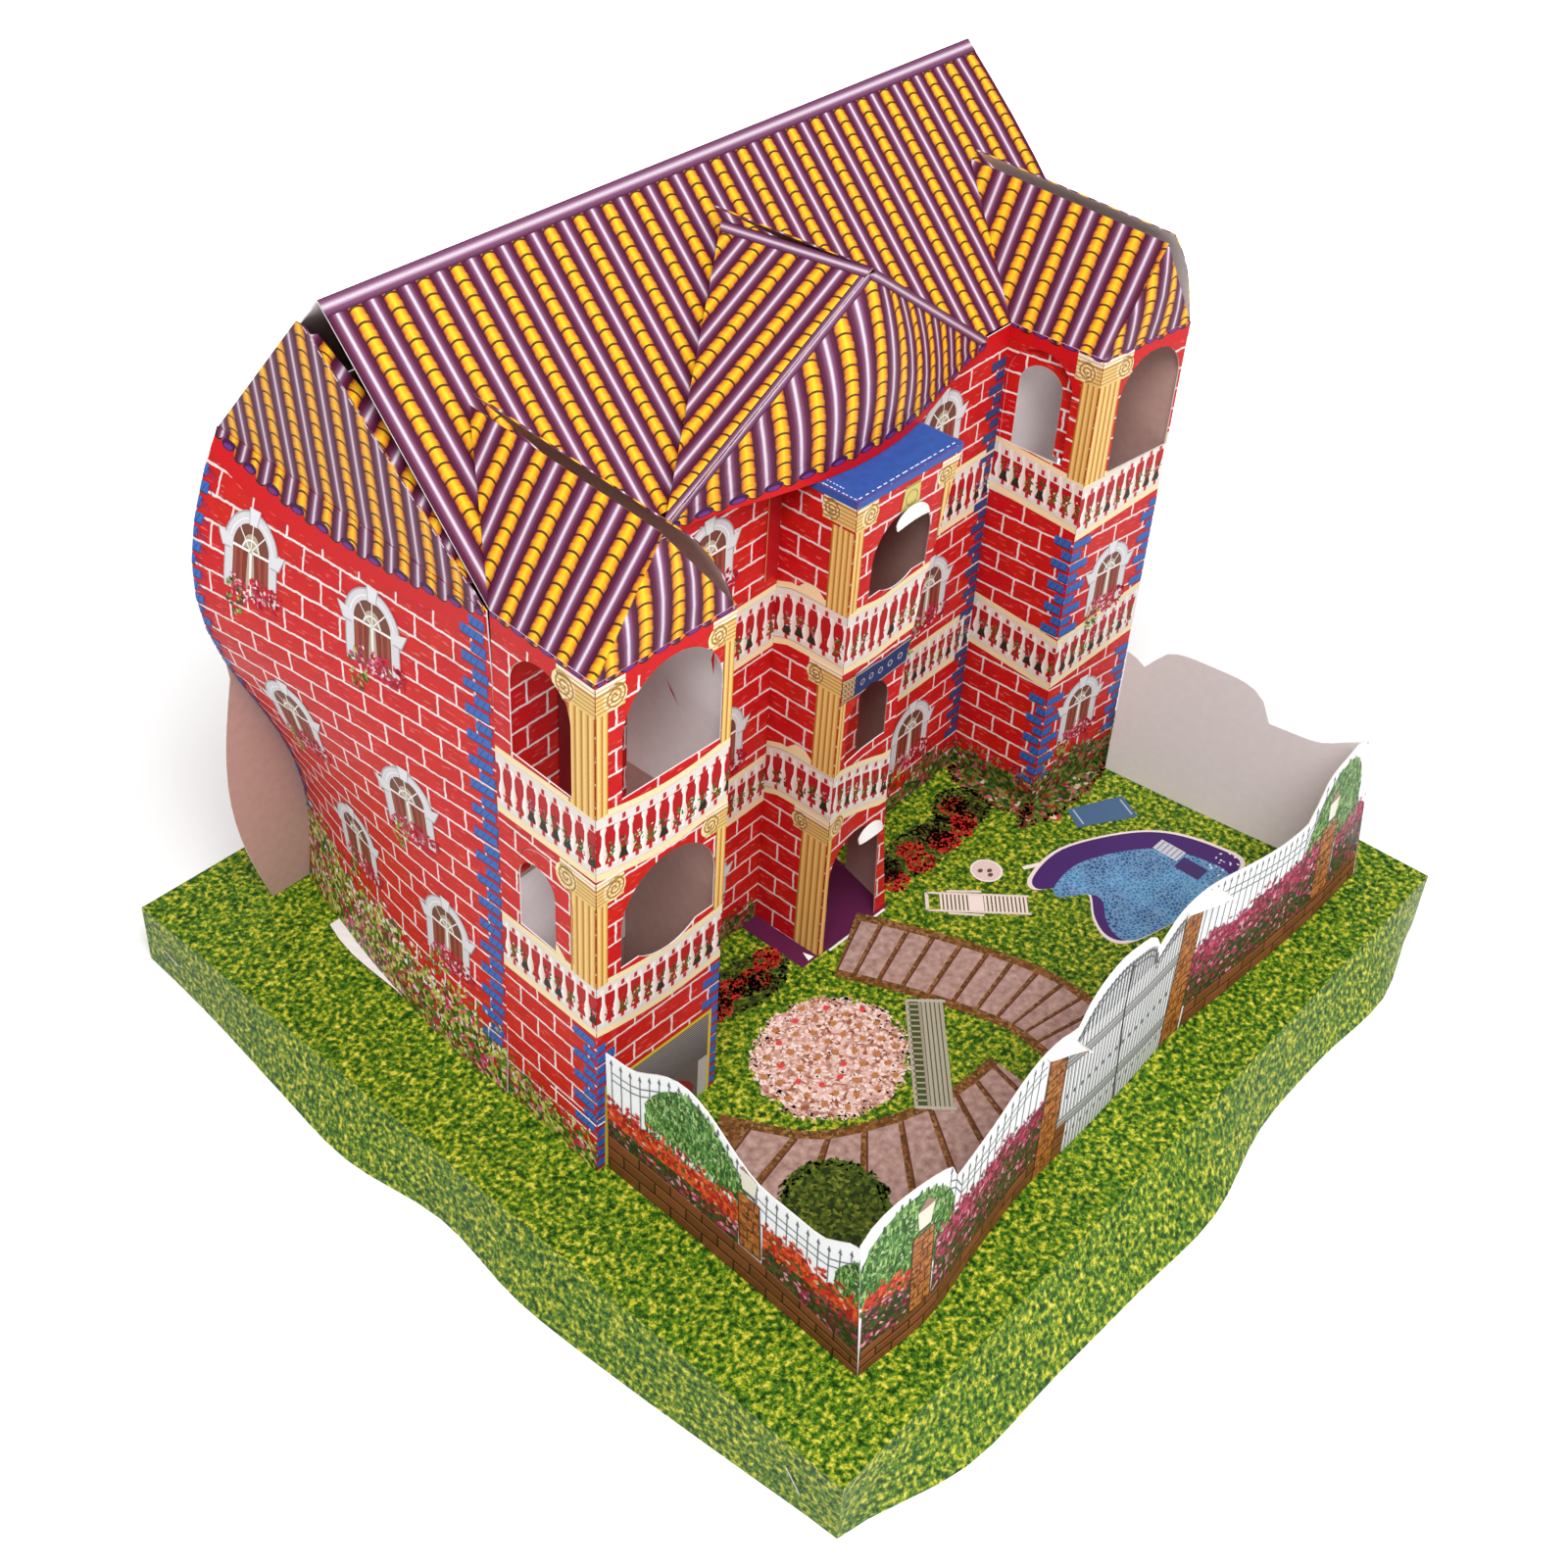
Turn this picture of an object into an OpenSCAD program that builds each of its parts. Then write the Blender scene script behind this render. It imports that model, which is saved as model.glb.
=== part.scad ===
// Folded and cut card house on a printed garden tray, held together by tabs, glue and staples.
// X runs along the gate side, Y runs to the back, Z is up. Z = 0 is the floor under the tray.

/* [Card] */
// Thickness of the card
card = 0.5; // [0.3:0.1:0.8]
// Space left between two separate sheets
fit = 0.3; // [0.2:0.05:0.5]

/* [Tray] */
// Width of the tray top
tray_w = 420; // [400:5:480]
// Depth of the tray top
tray_d = 398; // [390:2:440]
// Height of the tray
tray_h = 31; // [24:1:40]
// How far the gate side skirt flares out at its fullest
gate_flare = 22; // [10:1:26]
// How far the left skirt flares out at its fullest
side_flare = 12; // [6:1:16]
// Length of the tabs folded behind the skirts at the corners
corner_tab = 26; // [18:1:34]

/* [House plan] */
// Tray left of the house
side_yard = 37; // [30:1:44]
// Garden between the gate side of the tray and the wings
front_yard = 154; // [146:1:160]
// Width of the whole house
house_w = 350; // [340:1:356]
// Depth of the main block
house_d = 156; // [140:1:160]
// How far the wings stand in front of the main wall
wing_d = 53; // [46:1:60]
// Width of the left wing
left_wing_w = 64; // [56:1:70]
// Width of the right wing
right_wing_w = 56; // [50:1:62]
// Width of the porch at its canopy
porch_w = 62; // [54:1:68]
// Place of the porch's left side, from the middle of the tray
porch_x = -26; // [-34:1:-20]
// How far the porch stands in front of the wing fronts' line, towards the main wall
porch_set = 14; // [8:1:18]
// How far the foot of the porch front is pushed in at its right
porch_squeeze = 17; // [8:1:20]

/* [Storeys] */
// Height of the walls from the tray to the eaves
wall_h = 237; // [230:1:245]
// Height of the upper gallery floor
upper_floor = 182; // [176:1:186]
// Height of the lower gallery floor
lower_floor = 102; // [96:1:106]
// Top of the arches of the upper storey
upper_arch_top = 231; // [222:1:233]
// Top of the arches of the middle storey
middle_arch_top = 144; // [138:1:148]
// Height of the porch
porch_h = 232; // [228:1:234]
// Height of the porch door
door_h = 58; // [50:1:62]

/* [Arches] */
// Width of the big arches in the wing fronts
front_arch_w = 47; // [38:1:50]
// Width of the right wing's front arch
right_arch_w = 39; // [32:1:42]
// Width of the arches in the wing sides
side_arch_w = 32; // [26:1:36]
// Width of the small arches cut inside the loose arch flaps
small_arch_w = 20; // [14:1:24]
// Height of the small arches
small_arch_h = 38; // [30:1:42]
// Width of the porch arches
porch_arch_w = 36; // [28:1:38]
// Angle that the right wing's arch flap is pushed in
flap_angle = 8; // [2:1:20]

/* [Roofs] */
// Rise of the main roof above the eaves
roof_rise = 83; // [75:1:90]
// Rise of the left gable, which slipped below the ridge
gable_rise = 75; // [65:1:78]
// Rise of the wing roofs
wing_roof_rise = 42; // [36:1:48]
// Rise of the middle roof
middle_roof_rise = 69; // [62:1:74]
// Width of the middle roof along its eaves
middle_roof_w = 192; // [180:1:200]
// How far the eave of the middle roof bulges forward over the porch
eave_bulge = 20; // [8:1:24]
// Width of the tab folded in along the left gable
gable_tab = 16; // [8:1:20]

/* [Bent card] */
// How far the left wall bellies out at its rear edge
wall_belly = 14; // [0:1:18]
// How far the foot of the left wall has slipped in at its rear
foot_slip = 25; // [0:1:28]
// How far the free end of the back wall curls out past the corner
curl = 11; // [0:1:14]

/* [Fence] */
// Height of the fence between its trees
fence_h = 66; // [58:1:72]
// Extra height of the tree tops on the fence
tree_rise = 20; // [12:1:26]
// Extra height of the gate's arch
gate_rise = 26; // [16:1:32]
// Gap from the fence to the gate side of the tray
fence_yard = 24; // [18:1:30]
// How far the fence's right corner stands from the tray's right side
fence_right = 23; // [16:1:30]

/* [Staples] */
// Length of a staple
staple_l = 11; // [8:0.5:14]
// Thickness of the staple wire
wire = 0.6; // [0.5:0.1:0.9]
// Distance from a staple to its corner
staple_in = 20; // [15:1:30]

/* [Hidden] */

paper_grey = [0.80, 0.74, 0.72];
brick_red = [0.78, 0.07, 0.10];
tile_purple = [0.45, 0.32, 0.45];
grass_green = [0.36, 0.55, 0.16];
fence_white = [0.90, 0.90, 0.90];

z_top = tray_h;
z_eave = tray_h + wall_h;
z_ridge = z_eave + roof_rise;
x_left = side_yard - tray_w / 2;
x_right = x_left + house_w;
y_wing = front_yard - tray_d / 2;
y_wall = y_wing + wing_d;
y_back = y_wall + house_d;
y_rear = y_back + fit + card;
y_ridge = (y_wall + y_back) / 2;
// The main wall stands a little askew: its left end lies forward of the line and its right end on it.
wall_skew = 7;
wall_lead = 6;
function wall_y(x) = y_wall - wall_lead + wall_skew * (x - x_left) / house_w;

// Small places, all from the plan above
left_seam = [x_left + 3, y_wall - fit];
left_corner = [x_left - 0.5, y_wing];
left_inner = [left_corner[0] + left_wing_w, y_wing - 2];
right_inner_front = [x_right - right_wing_w, y_wing + 7];
right_corner = [x_right - 1, y_wing + 1];
porch_front = y_wing + porch_set;
porch_back = wall_y(porch_x) - fit;
back_left = [x_left + 1, y_rear];
back_right = [x_right - card - fit, y_rear];
fence_y = fence_yard - tray_d / 2;
fence_x0 = left_corner[0];
fence_x1 = tray_w / 2 - fence_right;
fence_end_gap = 2.5;
tab_w = 18;
tab_drop = 6;
// Depth below the roof's outer face at which the walls under it end
roof_under = 1.4;
function under_roof(y) = z_eave + roof_rise * (1 - abs(y - y_ridge) / (y_back - y_ridge)) - roof_under;
// Bent sheets stand this far above the tray's face
stand = 0.2;

// Helpers for curves
function mix(a, b, t) = a + (b - a) * t;
function bump(t) = abs(t) < 1 ? (1 + cos(180 * t)) / 2 : 0;
function unit(a) = a / max(norm(a), 0.000001);
// Smooth curve through equally spaced values
function pick(list, i) = list[max(0, min(len(list) - 1, i))];
function through(list, u) =
    let (n = len(list) - 1, s = min(u * n, n - 0.000001), i = floor(s), t = s - i,
         a = pick(list, i - 1), b = pick(list, i), c = pick(list, i + 1), d = pick(list, i + 2))
    b + t * (c - a) / 2 + t * t * (a - 2.5 * b + 2 * c - d / 2) + t * t * t * (1.5 * (b - c) + (d - a) / 2);

// Bent sheet of card. f(u, v) is its outer face, seen from outside with u to the right and v up.
function face_normal(f, u, v) =
    let (e = 0.01, u0 = max(0, u - e), u1 = min(1, u + e), v0 = max(0, v - e), v1 = min(1, v + e))
    unit(cross(f(u1, v) - f(u0, v), f(u, v1) - f(u, v0)));
module bent(f, nu, nv, t = card) {
    outer = [for (i = [0:nu]) for (j = [0:nv]) f(i / nu, j / nv)];
    inner = [for (i = [0:nu]) for (j = [0:nv]) f(i / nu, j / nv) - t * face_normal(f, i / nu, j / nv)];
    n = (nu + 1) * (nv + 1);
    function at(i, j) = i * (nv + 1) + j;
    faces = concat(
        [for (i = [0:nu - 1]) for (j = [0:nv - 1]) [at(i, j), at(i, j + 1), at(i + 1, j + 1)]],
        [for (i = [0:nu - 1]) for (j = [0:nv - 1]) [at(i, j), at(i + 1, j + 1), at(i + 1, j)]],
        [for (i = [0:nu - 1]) for (j = [0:nv - 1]) [n + at(i, j), n + at(i + 1, j + 1), n + at(i, j + 1)]],
        [for (i = [0:nu - 1]) for (j = [0:nv - 1]) [n + at(i, j), n + at(i + 1, j), n + at(i + 1, j + 1)]],
        [for (i = [0:nu - 1]) [at(i, 0), at(i + 1, 0), n + at(i + 1, 0)]],
        [for (i = [0:nu - 1]) [at(i, 0), n + at(i + 1, 0), n + at(i, 0)]],
        [for (i = [0:nu - 1]) [at(i, nv), n + at(i, nv), n + at(i + 1, nv)]],
        [for (i = [0:nu - 1]) [at(i, nv), n + at(i + 1, nv), at(i + 1, nv)]],
        [for (j = [0:nv - 1]) [at(0, j), n + at(0, j), n + at(0, j + 1)]],
        [for (j = [0:nv - 1]) [at(0, j), n + at(0, j + 1), at(0, j + 1)]],
        [for (j = [0:nv - 1]) [at(nu, j), at(nu, j + 1), n + at(nu, j + 1)]],
        [for (j = [0:nv - 1]) [at(nu, j), n + at(nu, j + 1), n + at(nu, j)]]);
    polyhedron(concat(outer, inner), faces);
}

// Flat upright panel from plan point a to plan point b, seen from outside with a on the left.
// Its children are drawn in the panel's own plane: across, then up from the tray.
module panel(a, b) {
    angle = atan2(b[1] - a[1], b[0] - a[0]);
    translate([a[0], a[1], z_top]) rotate([0, 0, angle]) rotate([90, 0, 0])
        translate([0, 0, -card]) linear_extrude(card) children();
}

// Folded upright walls in one strip, drawn from above: the outer corners, and the same corners set in by the card
function side_of(points, i) = let (d = unit(points[i + 1] - points[i])) [-d[1], d[0]];
function corner_in(points, i) =
    let (last = len(points) - 1, a = side_of(points, max(0, i - 1)), b = side_of(points, min(last - 1, i)))
    (a + b) / (1 + a * b);
module strip(points, height) {
    inner = [for (i = [len(points) - 1:-1:0]) points[i] + card * corner_in(points, i)];
    translate([0, 0, z_top]) linear_extrude(height) polygon(concat(points, inner));
}
// Opening through a wall, drawn in the wall's plane like a panel
module hole(a, b) {
    angle = atan2(b[1] - a[1], b[0] - a[0]);
    translate([a[0], a[1], z_top]) rotate([0, 0, angle]) rotate([90, 0, 0])
        translate([0, 0, -3 * card]) linear_extrude(5 * card) children();
}

// Round-headed opening standing on its sill
module arch(middle, sill, width, top) {
    translate([middle - width / 2, sill]) square([width, top - sill - width / 2]);
    translate([middle, top - width / 2]) circle(d = width, $fn = 48);
}

// Tab that passes down through a slot in the tray, and the slot itself
module tab(middle) {
    translate([middle - tab_w / 2, -tab_drop]) square([tab_w, tab_drop + 1]);
}
// The same tab on a strip of walls, a touch thinner than the card it continues
module wall_tab(a, b, middle) {
    angle = atan2(b[1] - a[1], b[0] - a[0]);
    color(brick_red) translate([a[0], a[1], z_top]) rotate([0, 0, angle]) rotate([90, 0, 0])
        translate([0, 0, -0.9 * card]) linear_extrude(0.8 * card) tab(middle);
}
module slot(a, b, middle) {
    angle = atan2(b[1] - a[1], b[0] - a[0]);
    translate([a[0], a[1], z_top - 2 * card]) rotate([0, 0, angle])
        translate([middle - tab_w / 2 - fit, -fit, 0]) cube([tab_w + 2 * fit, card + 2 * fit, 3 * card]);
}
function span(a, b) = norm(b - a);

// Tray
gate_profile = [0, 0.73, 0.82, 0.91, 1, 0.55, 0.5, 0.6, 0];
side_profile = [0, 0.34, 0.67, 0.84, 0.42, 1, 0.67, 0.25, 0];
function gate_out(u) = gate_flare * through(gate_profile, u);
function side_out(u) = side_flare * through(side_profile, u);
function skirt_front(u, v) = [mix(-tray_w / 2, tray_w / 2, u), -tray_d / 2 - gate_out(u) * (1 - v), tray_h * v];
function skirt_left(u, v) = [-tray_w / 2 - side_out(1 - u) * (1 - v), mix(tray_d / 2, -tray_d / 2, u), tray_h * v];

module skirts() {
    steps = 32;
    for (turn = [0, 180]) rotate([0, 0, turn]) {
        bent(function (u, v) skirt_front(u, v), steps, 1);
        bent(function (u, v) skirt_left(u, v), steps, 1);
        corner_tabs();
    }
}
// Tabs of the gate side and back skirts, folded behind the left and right skirts
module corner_tabs() {
    reach = corner_tab / tray_d;
    inset = card + fit;
    bent(function (u, v) skirt_left(mix(1 - reach, 1, u), mix(0.1, 1, v)) + [inset, 0, 0], 4, 1);
    bent(function (u, v) skirt_left(mix(0, reach, u), mix(0.1, 1, v)) + [inset, 0, 0], 4, 1);
}

module base_tray() {
    color(grass_green) difference() {
        union() {
            translate([-tray_w / 2, -tray_d / 2, z_top - card]) cube([tray_w, tray_d, card]);
            skirts();
        }
        translate([-tray_w, -tray_d, -10]) cube([2 * tray_w, 2 * tray_d, 10]);
        slots();
        for (turn = [0, 180]) rotate([0, 0, turn]) for (end = [-1, 1]) staple_place(end) staple_holes();
    }
}
module slots() {
    slot(left_corner, left_inner, span(left_corner, left_inner) / 2);
    slot(right_inner_front, right_corner, span(right_inner_front, right_corner) / 2);
    slot([porch_x, porch_back], [porch_x, porch_front], (porch_back - porch_front) / 2);
    slot(back_right, back_left, span(back_right, back_left) - house_w / 3);
    slot(back_right, back_left, span(back_right, back_left) - 2 * house_w / 3);
}

// Staples through the corner tabs. A staple leans a little on the skirt.
staple_h = 15;
function staple_u(end) = 0.5 + end * (0.5 - staple_in / tray_d);
module staple_place(end) {
    middle = skirt_left(staple_u(end), staple_h / tray_h);
    lean = atan2(side_out(1 - staple_u(end)), tray_h);
    translate(middle) rotate([0, lean, 0]) rotate([end > 0 ? 50 : 12, 0, 0]) children();
}
module staple_holes() {
    for (side = [-1, 1])
        translate([2 * card + fit, side * (staple_l / 2 - wire / 2), 0]) cube([6, wire + 2 * fit, wire + 2 * fit], center = true);
}
module one_staple() {
    reach = 2 * card + 2 * fit + wire;
    stand = fit + wire;
    translate([-stand, -staple_l / 2, -wire / 2]) cube([wire, staple_l, wire]);
    for (side = [0, 1]) mirror([0, side, 0]) {
        translate([-stand, staple_l / 2 - wire, -wire / 2]) cube([stand + reach + wire, wire, wire]);
        translate([reach, wire, -wire / 2]) cube([wire, staple_l / 2 - wire, wire]);
    }
}
module corner_staples() {
    color("silver") for (turn = [0, 180]) rotate([0, 0, turn]) for (end = [-1, 1]) staple_place(end) one_staple();
}

// Left wall. Its rear edge bellies out above and has slipped in at the foot.
function left_wall_face(u, v) =
    let (away = (u * u + u) / 2, lean_top = mix(0, 8.5, u),
         foot = mix(foot_slip * u * u, lean_top, min(1, v * 1.1)),
         belly = away * (-12 * sin(180 * v) + wall_belly * sin(360 * v)))
    [x_left + 2 + foot + belly + 3 * sin(180 * v) * (1 - u), mix(y_wall + fit, y_back, u), mix(z_top + stand, z_eave, v)];
// Gable flap that stands on the wall
function left_gable_face(u, v) =
    let (base = left_wall_face(u, 1), peak = [x_left + 1, y_ridge + 8, z_eave + gable_rise])
    mix(base, peak, v * 0.97);

module left_wall_sheet() {
    rear_first = function (u, v) left_wall_face(1 - u, v);
    gable = function (u, v) left_gable_face(1 - u, v);
    tab_edge = function (u, v)
        left_gable_face(0, mix(0.1, 0.97, u)) + v * gable_tab * bump(u * 0.75 - 0.05) * [1, 0.05, -0.35];
    color(brick_red) bent(rear_first, 14, 14);
    color(tile_purple) translate([0.1, 0, -0.4]) bent(gable, 8, 6);
    color(tile_purple) translate([0.15, 0.1, -0.5]) bent(tab_edge, 8, 1);
    // Sliver of the glue tab that shows beside the foot
    color(paper_grey) bent(foot_tab, 6, 1);
}
foot_tab = function (u, v)
    let (y = mix(y_wall + 63, y_wall + 124, u), edge = left_wall_face((y - y_wall) / house_d, 0))
    [edge[0] + 0.3 - (1 - v) * 6 * bump((u - 0.85) * 1.15), y, z_top + card + stand];

// Right wall and its gable, one flat sheet
module right_wall_sheet() {
    front = [x_right, wall_y(x_right) + fit];
    color(brick_red) panel(front, [x_right, y_back]) {
        length = y_back - front[1];
        polygon([[0, 0], [length, 0], [length, under_roof(y_back) - z_top],
                 [y_ridge - front[1], under_roof(y_ridge) - z_top], [0, under_roof(front[1]) - z_top]]);
    }
}

// Back wall, whose left end curls out past the corner below the glued part
module back_wall_sheet() {
    a = back_left;
    b = back_right;
    glue_z = 124;
    steps = 12;
    length = b[0] - a[0];
    free_edge = [for (i = [0:steps]) let (t = i / steps) [mix(6, 0, t) - curl * sin(180 * t), glue_z * t]];
    glued_edge = [for (i = [1:steps]) let (v = mix(glue_z, wall_h, i / steps) / wall_h)
        [left_wall_face(1, v)[0] - a[0] + card, v * wall_h]];
    // The sheet is seen from behind, so it is drawn from the right end to the left one
    tabs = [length - house_w / 3, length - 2 * house_w / 3];
    color(brick_red) panel(b, a)
        polygon(concat([[0, 0], [0, wall_h - roof_under]],
            [for (i = [steps - 1:-1:0]) [length - glued_edge[i][0], min(glued_edge[i][1], wall_h - roof_under)]],
            [for (i = [steps:-1:0]) [length - free_edge[i][0], free_edge[i][1]]],
            [for (middle = tabs) for (corner = [[1, 0], [1, 1], [-1, 1], [-1, 0]])
                [middle + corner[0] * tab_w / 2, -corner[1] * tab_drop]]));
}

// Main wall
middle_x = (left_inner[0] + right_inner_front[0]) / 2;
middle_peak = [middle_x - 2, y_wing + 39, z_eave + middle_roof_rise];
middle_back = [middle_x - 7, y_ridge - 24, z_eave + middle_roof_rise - 3.5];
function eave_point(u) =
    let (x = mix(middle_x - middle_roof_w / 2, middle_x + middle_roof_w / 2, u))
    [x, wall_y(x) - fit - card - eave_bulge * pow(sin(180 * u), 1.5), z_eave];
// The lowest tenth of the front face is its lip, which hangs straight down
lip_h = z_eave - z_top - porch_h - fit;
function middle_front_face(u, v) =
    let (w = max(0, (v - 0.1) / 0.9), drop = lip_h * max(0, 1 - v / 0.1))
    mix(eave_point(u), middle_peak, w * 0.97) + [0, -5 * sin(180 * w) * sin(180 * u), -drop];
module front_wall_sheet() {
    a = [x_left + 3.5 + card, wall_y(x_left + 3.5)];
    b = [x_right - card - fit, wall_y(x_right)];
    color(brick_red) panel(a, b) square([span(a, b), wall_h - 1]);
}
// Middle roof, folded over the porch, with a narrow lip of the wall print under its eave
module middle_roof_sheet() {
    front = function (u, v) middle_front_face(u, v);
    left_slope = function (u, v)
        mix(mix(eave_point(0) + [0, 1, 1], middle_back, v), mix(eave_point(0), middle_peak, v), u);
    right_slope = function (u, v)
        mix(mix(eave_point(1), middle_peak, v), mix(eave_point(1) + [0, 1, 1], middle_back + [-2, 2, 6], v), u);
    color(tile_purple) bent(front, 14, 10);
    color(tile_purple) translate([0.1, 0.3, -0.1]) bent(left_slope, 1, 6);
    color(tile_purple) translate([-0.1, 0.3, -0.1]) bent(right_slope, 1, 6);
}

// Wing roofs. The roof is open along its ridge: the far slope stands a little proud.
// Each part starts a little inside the one it is folded from.
module wing_roof(rear_left, front_left, front_right, rear_right, peak, back_peak, open) {
    up = function (p) [p[0], p[1], z_eave];
    left_slope = function (u, v)
        mix(mix(up(rear_left), up(front_left), u), mix(back_peak, peak, u), v);
    gable = function (u, v) mix(mix(up(front_left), up(front_right), u), peak, v * 0.97) + [0, -2 * sin(180 * v) * sin(180 * u), 0];
    right_slope = function (u, v)
        mix(mix(up(front_right), up(rear_right) - [0, 3, 0], u), mix(peak + open, back_peak + open, u), v)
        + 4 * sin(180 * v) * sin(90 + 60 * u) * unit([1, 0, 1]);
    color(tile_purple) translate([0.1, 0.3, -0.1]) bent(left_slope, 3, 3);
    color(tile_purple) translate([0, 0.1, -0.5]) bent(gable, 6, 4);
    color(tile_purple) translate([-0.1, 0.3, -0.1]) bent(right_slope, 4, 6);
}

module left_wing_sheet() {
    a = left_seam;
    b = left_corner;
    c = left_inner;
    d = [left_inner[0], wall_y(left_inner[0]) - fit];
    side = span(a, b);
    arch_x = side - 12 - side_arch_w / 2;
    color(brick_red) difference() {
        strip([a, b, c, d], wall_h);
        hole(a, b) {
            arch(arch_x, upper_floor, side_arch_w, upper_arch_top - 3);
            arch(arch_x - 4, lower_floor, small_arch_w, lower_floor + small_arch_h - 3);
            loose_cut(arch_x, lower_floor, side_arch_w, middle_arch_top + 1);
        }
        hole(b, c) {
            arch(12 + front_arch_w / 2, upper_floor, front_arch_w, upper_arch_top);
            arch(12 + front_arch_w / 2, lower_floor, front_arch_w, middle_arch_top);
        }
        hole(c, d) loose_cut(span(c, d) / 2, upper_floor, side_arch_w, upper_arch_top - 3);
    }
    wall_tab(b, c, span(b, c) / 2);
    wing_roof(a, b, c, d, [(b[0] + c[0]) / 2, y_wing + 2, z_eave + wing_roof_rise - 1],
        [(b[0] + c[0]) / 2 + 1.5, y_wall + 40, z_eave + wing_roof_rise + 6.5], [2, -1, 4]);
}
// Thin cut around an arch flap that was never pushed out
module loose_cut(middle, sill, width, top) {
    intersection() {
        difference() {
            arch(middle, sill, width, top);
            arch(middle, sill - 1, width - 2 * fit, top - fit);
        }
        translate([middle - width / 2 + 2, sill + 2]) square([width, top]);
    }
}

module right_wing_sheet() {
    a = [right_inner_front[0] - 1, wall_y(right_inner_front[0]) - fit];
    b = right_inner_front;
    c = right_corner;
    d = [x_right, y_wall - fit];
    side = span(a, b);
    arch_x = side - 10 - side_arch_w / 2 - 2;
    hinge = arch_x - side_arch_w / 2;
    color(brick_red) difference() {
        strip([a, b, c, d], wall_h);
        hole(a, b) arch(arch_x, upper_floor, side_arch_w, upper_arch_top - 1);
        hole(b, c) arch(span(b, c) - 1.5 - right_arch_w / 2, upper_floor - 4, right_arch_w, upper_arch_top);
    }
    // Arch flap, pushed in on its left edge, which lies just inside the wall's card
    flap_w = side_arch_w - fit;
    bite = 0.3;
    color(brick_red) translate([a[0], a[1], 0]) rotate([0, 0, atan2(b[1] - a[1], b[0] - a[0])])
        translate([hinge - bite, 0.1, z_top]) rotate([0, 0, flap_angle]) rotate([90, 0, 0])
        translate([0, 0, -card]) linear_extrude(card) difference() {
            arch(flap_w / 2, upper_floor + fit, flap_w, upper_arch_top - 1 - fit);
            arch(flap_w / 2, upper_floor - 1, small_arch_w, upper_floor + small_arch_h + 2);
        }
    wall_tab(b, c, span(b, c) / 2);
    wing_roof(a, b, c, d, [(b[0] + c[0]) / 2 + 1, y_wing + 3, z_eave + wing_roof_rise + 1],
        [(b[0] + c[0]) / 2 - 6, y_wall + 44.5, z_eave + wing_roof_rise + 8.5], [4, 0, 3]);
}

// Porch. Its right edge leans in below and its front is bent back there.
function porch_right(v) =
    [porch_x + porch_w - porch_squeeze * (1 - v) - 13 * sin(180 * v) * (1 - v * 0.4),
     porch_front - 1 + 4 * sin(180 * v)];
function porch_face(u, v) =
    let (left = [porch_x, porch_front], right = porch_right(v), p = mix(left, right, u))
    [p[0], p[1] + 1.5 * sin(180 * u) * sin(180 * v), z_top + mix(stand, porch_h, v)];
function porch_side_face(u, v) =
    let (front = porch_right(v), back = [porch_x + porch_w - porch_squeeze * (1 - v) * 0.6,
         mix(wall_y(porch_x + porch_w) - 10, wall_y(porch_x + porch_w) - fit, v)])
    [mix(front[0], back[0], u), mix(front[1], back[1], u), z_top + mix(stand, porch_h, v)];
module porch_sheet() {
    back = [porch_x, porch_back];
    front = [porch_x, porch_front];
    face = function (u, v) porch_face(u, v);
    side_face = function (u, v) porch_side_face(u, v);
    depth = porch_back - porch_front;
    color(brick_red) panel(back, front) {
        square([depth, porch_h]);
        tab(depth / 2);
    }
    color(brick_red) difference() {
        bent(face, 4, 10);
        porch_openings();
    }
    color(brick_red) bent(side_face, 3, 10);
    // Canopy folded back over the top
    color([0.16, 0.27, 0.62]) translate([0, 0, z_top + porch_h - card]) linear_extrude(card)
        polygon([front, [porch_x + porch_w, porch_front - 1], [porch_x + porch_w, wall_y(porch_x + porch_w) - fit],
                 [porch_x, porch_back]]);
}
module porch_openings() {
    // Each storey: middle from the left side, sill, width and top
    upper = [porch_w / 2, upper_floor, porch_arch_w, upper_floor + 33];
    middle = [porch_w / 2 - 9, lower_floor, porch_arch_w - 8, lower_floor + 33];
    door = [porch_w / 2 - 10.5, -1, porch_arch_w - 2, door_h];
    for (storey = [upper, middle, door])
        translate([porch_x + storey[0], porch_front + 10, z_top]) rotate([90, 0, 0]) linear_extrude(20)
            arch(0, storey[1], storey[2], storey[3]);
}

// Main roof: two slopes folded along the ridge. The right end of the front slope bows up.
roof_x0 = x_left + 3.5;
roof_x1 = x_right + 2;
module main_roof_sheet() {
    front = function (u, v) let (bow = 3 * pow(u, 8) * sin(180 * v), s = unit([0, -1, 1]))
        [mix(roof_x0, roof_x1, u), mix(y_wall + fit, y_ridge, v), z_eave + roof_rise * v] + bow * s;
    // The back slope ends beside the left gable, which stands askew
    back = function (u, v)
        [mix(roof_x1, mix(roof_x0 + 9, roof_x0, v), u), mix(y_back - fit, y_ridge, v), z_eave + roof_rise * v];
    color(tile_purple) bent(front, 8, 6);
    color(tile_purple) bent(back, 1, 1);
}

// Fence: one strip with two folds, its top cut along the trees, the posts and the gate
function dome(t) = sqrt(max(0, 1 - t * t));
function crown(t) = sqrt(max(0, 1 - t * t * t * t));
function left_fence_h(s, length) =
    fence_h - 5 + 6 * bump(s / 20) + tree_rise * bump((s - length * 0.32) / (length * 0.34)) + 10 * bump((s - length) / 20);
function right_fence_h(s, length) =
    fence_h - 1 + 6 * bump(s / 16) + 0.85 * tree_rise * crown((s - length * 0.36) / (length * 0.25))
    + 8 * bump((s - length) / 26);
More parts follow.
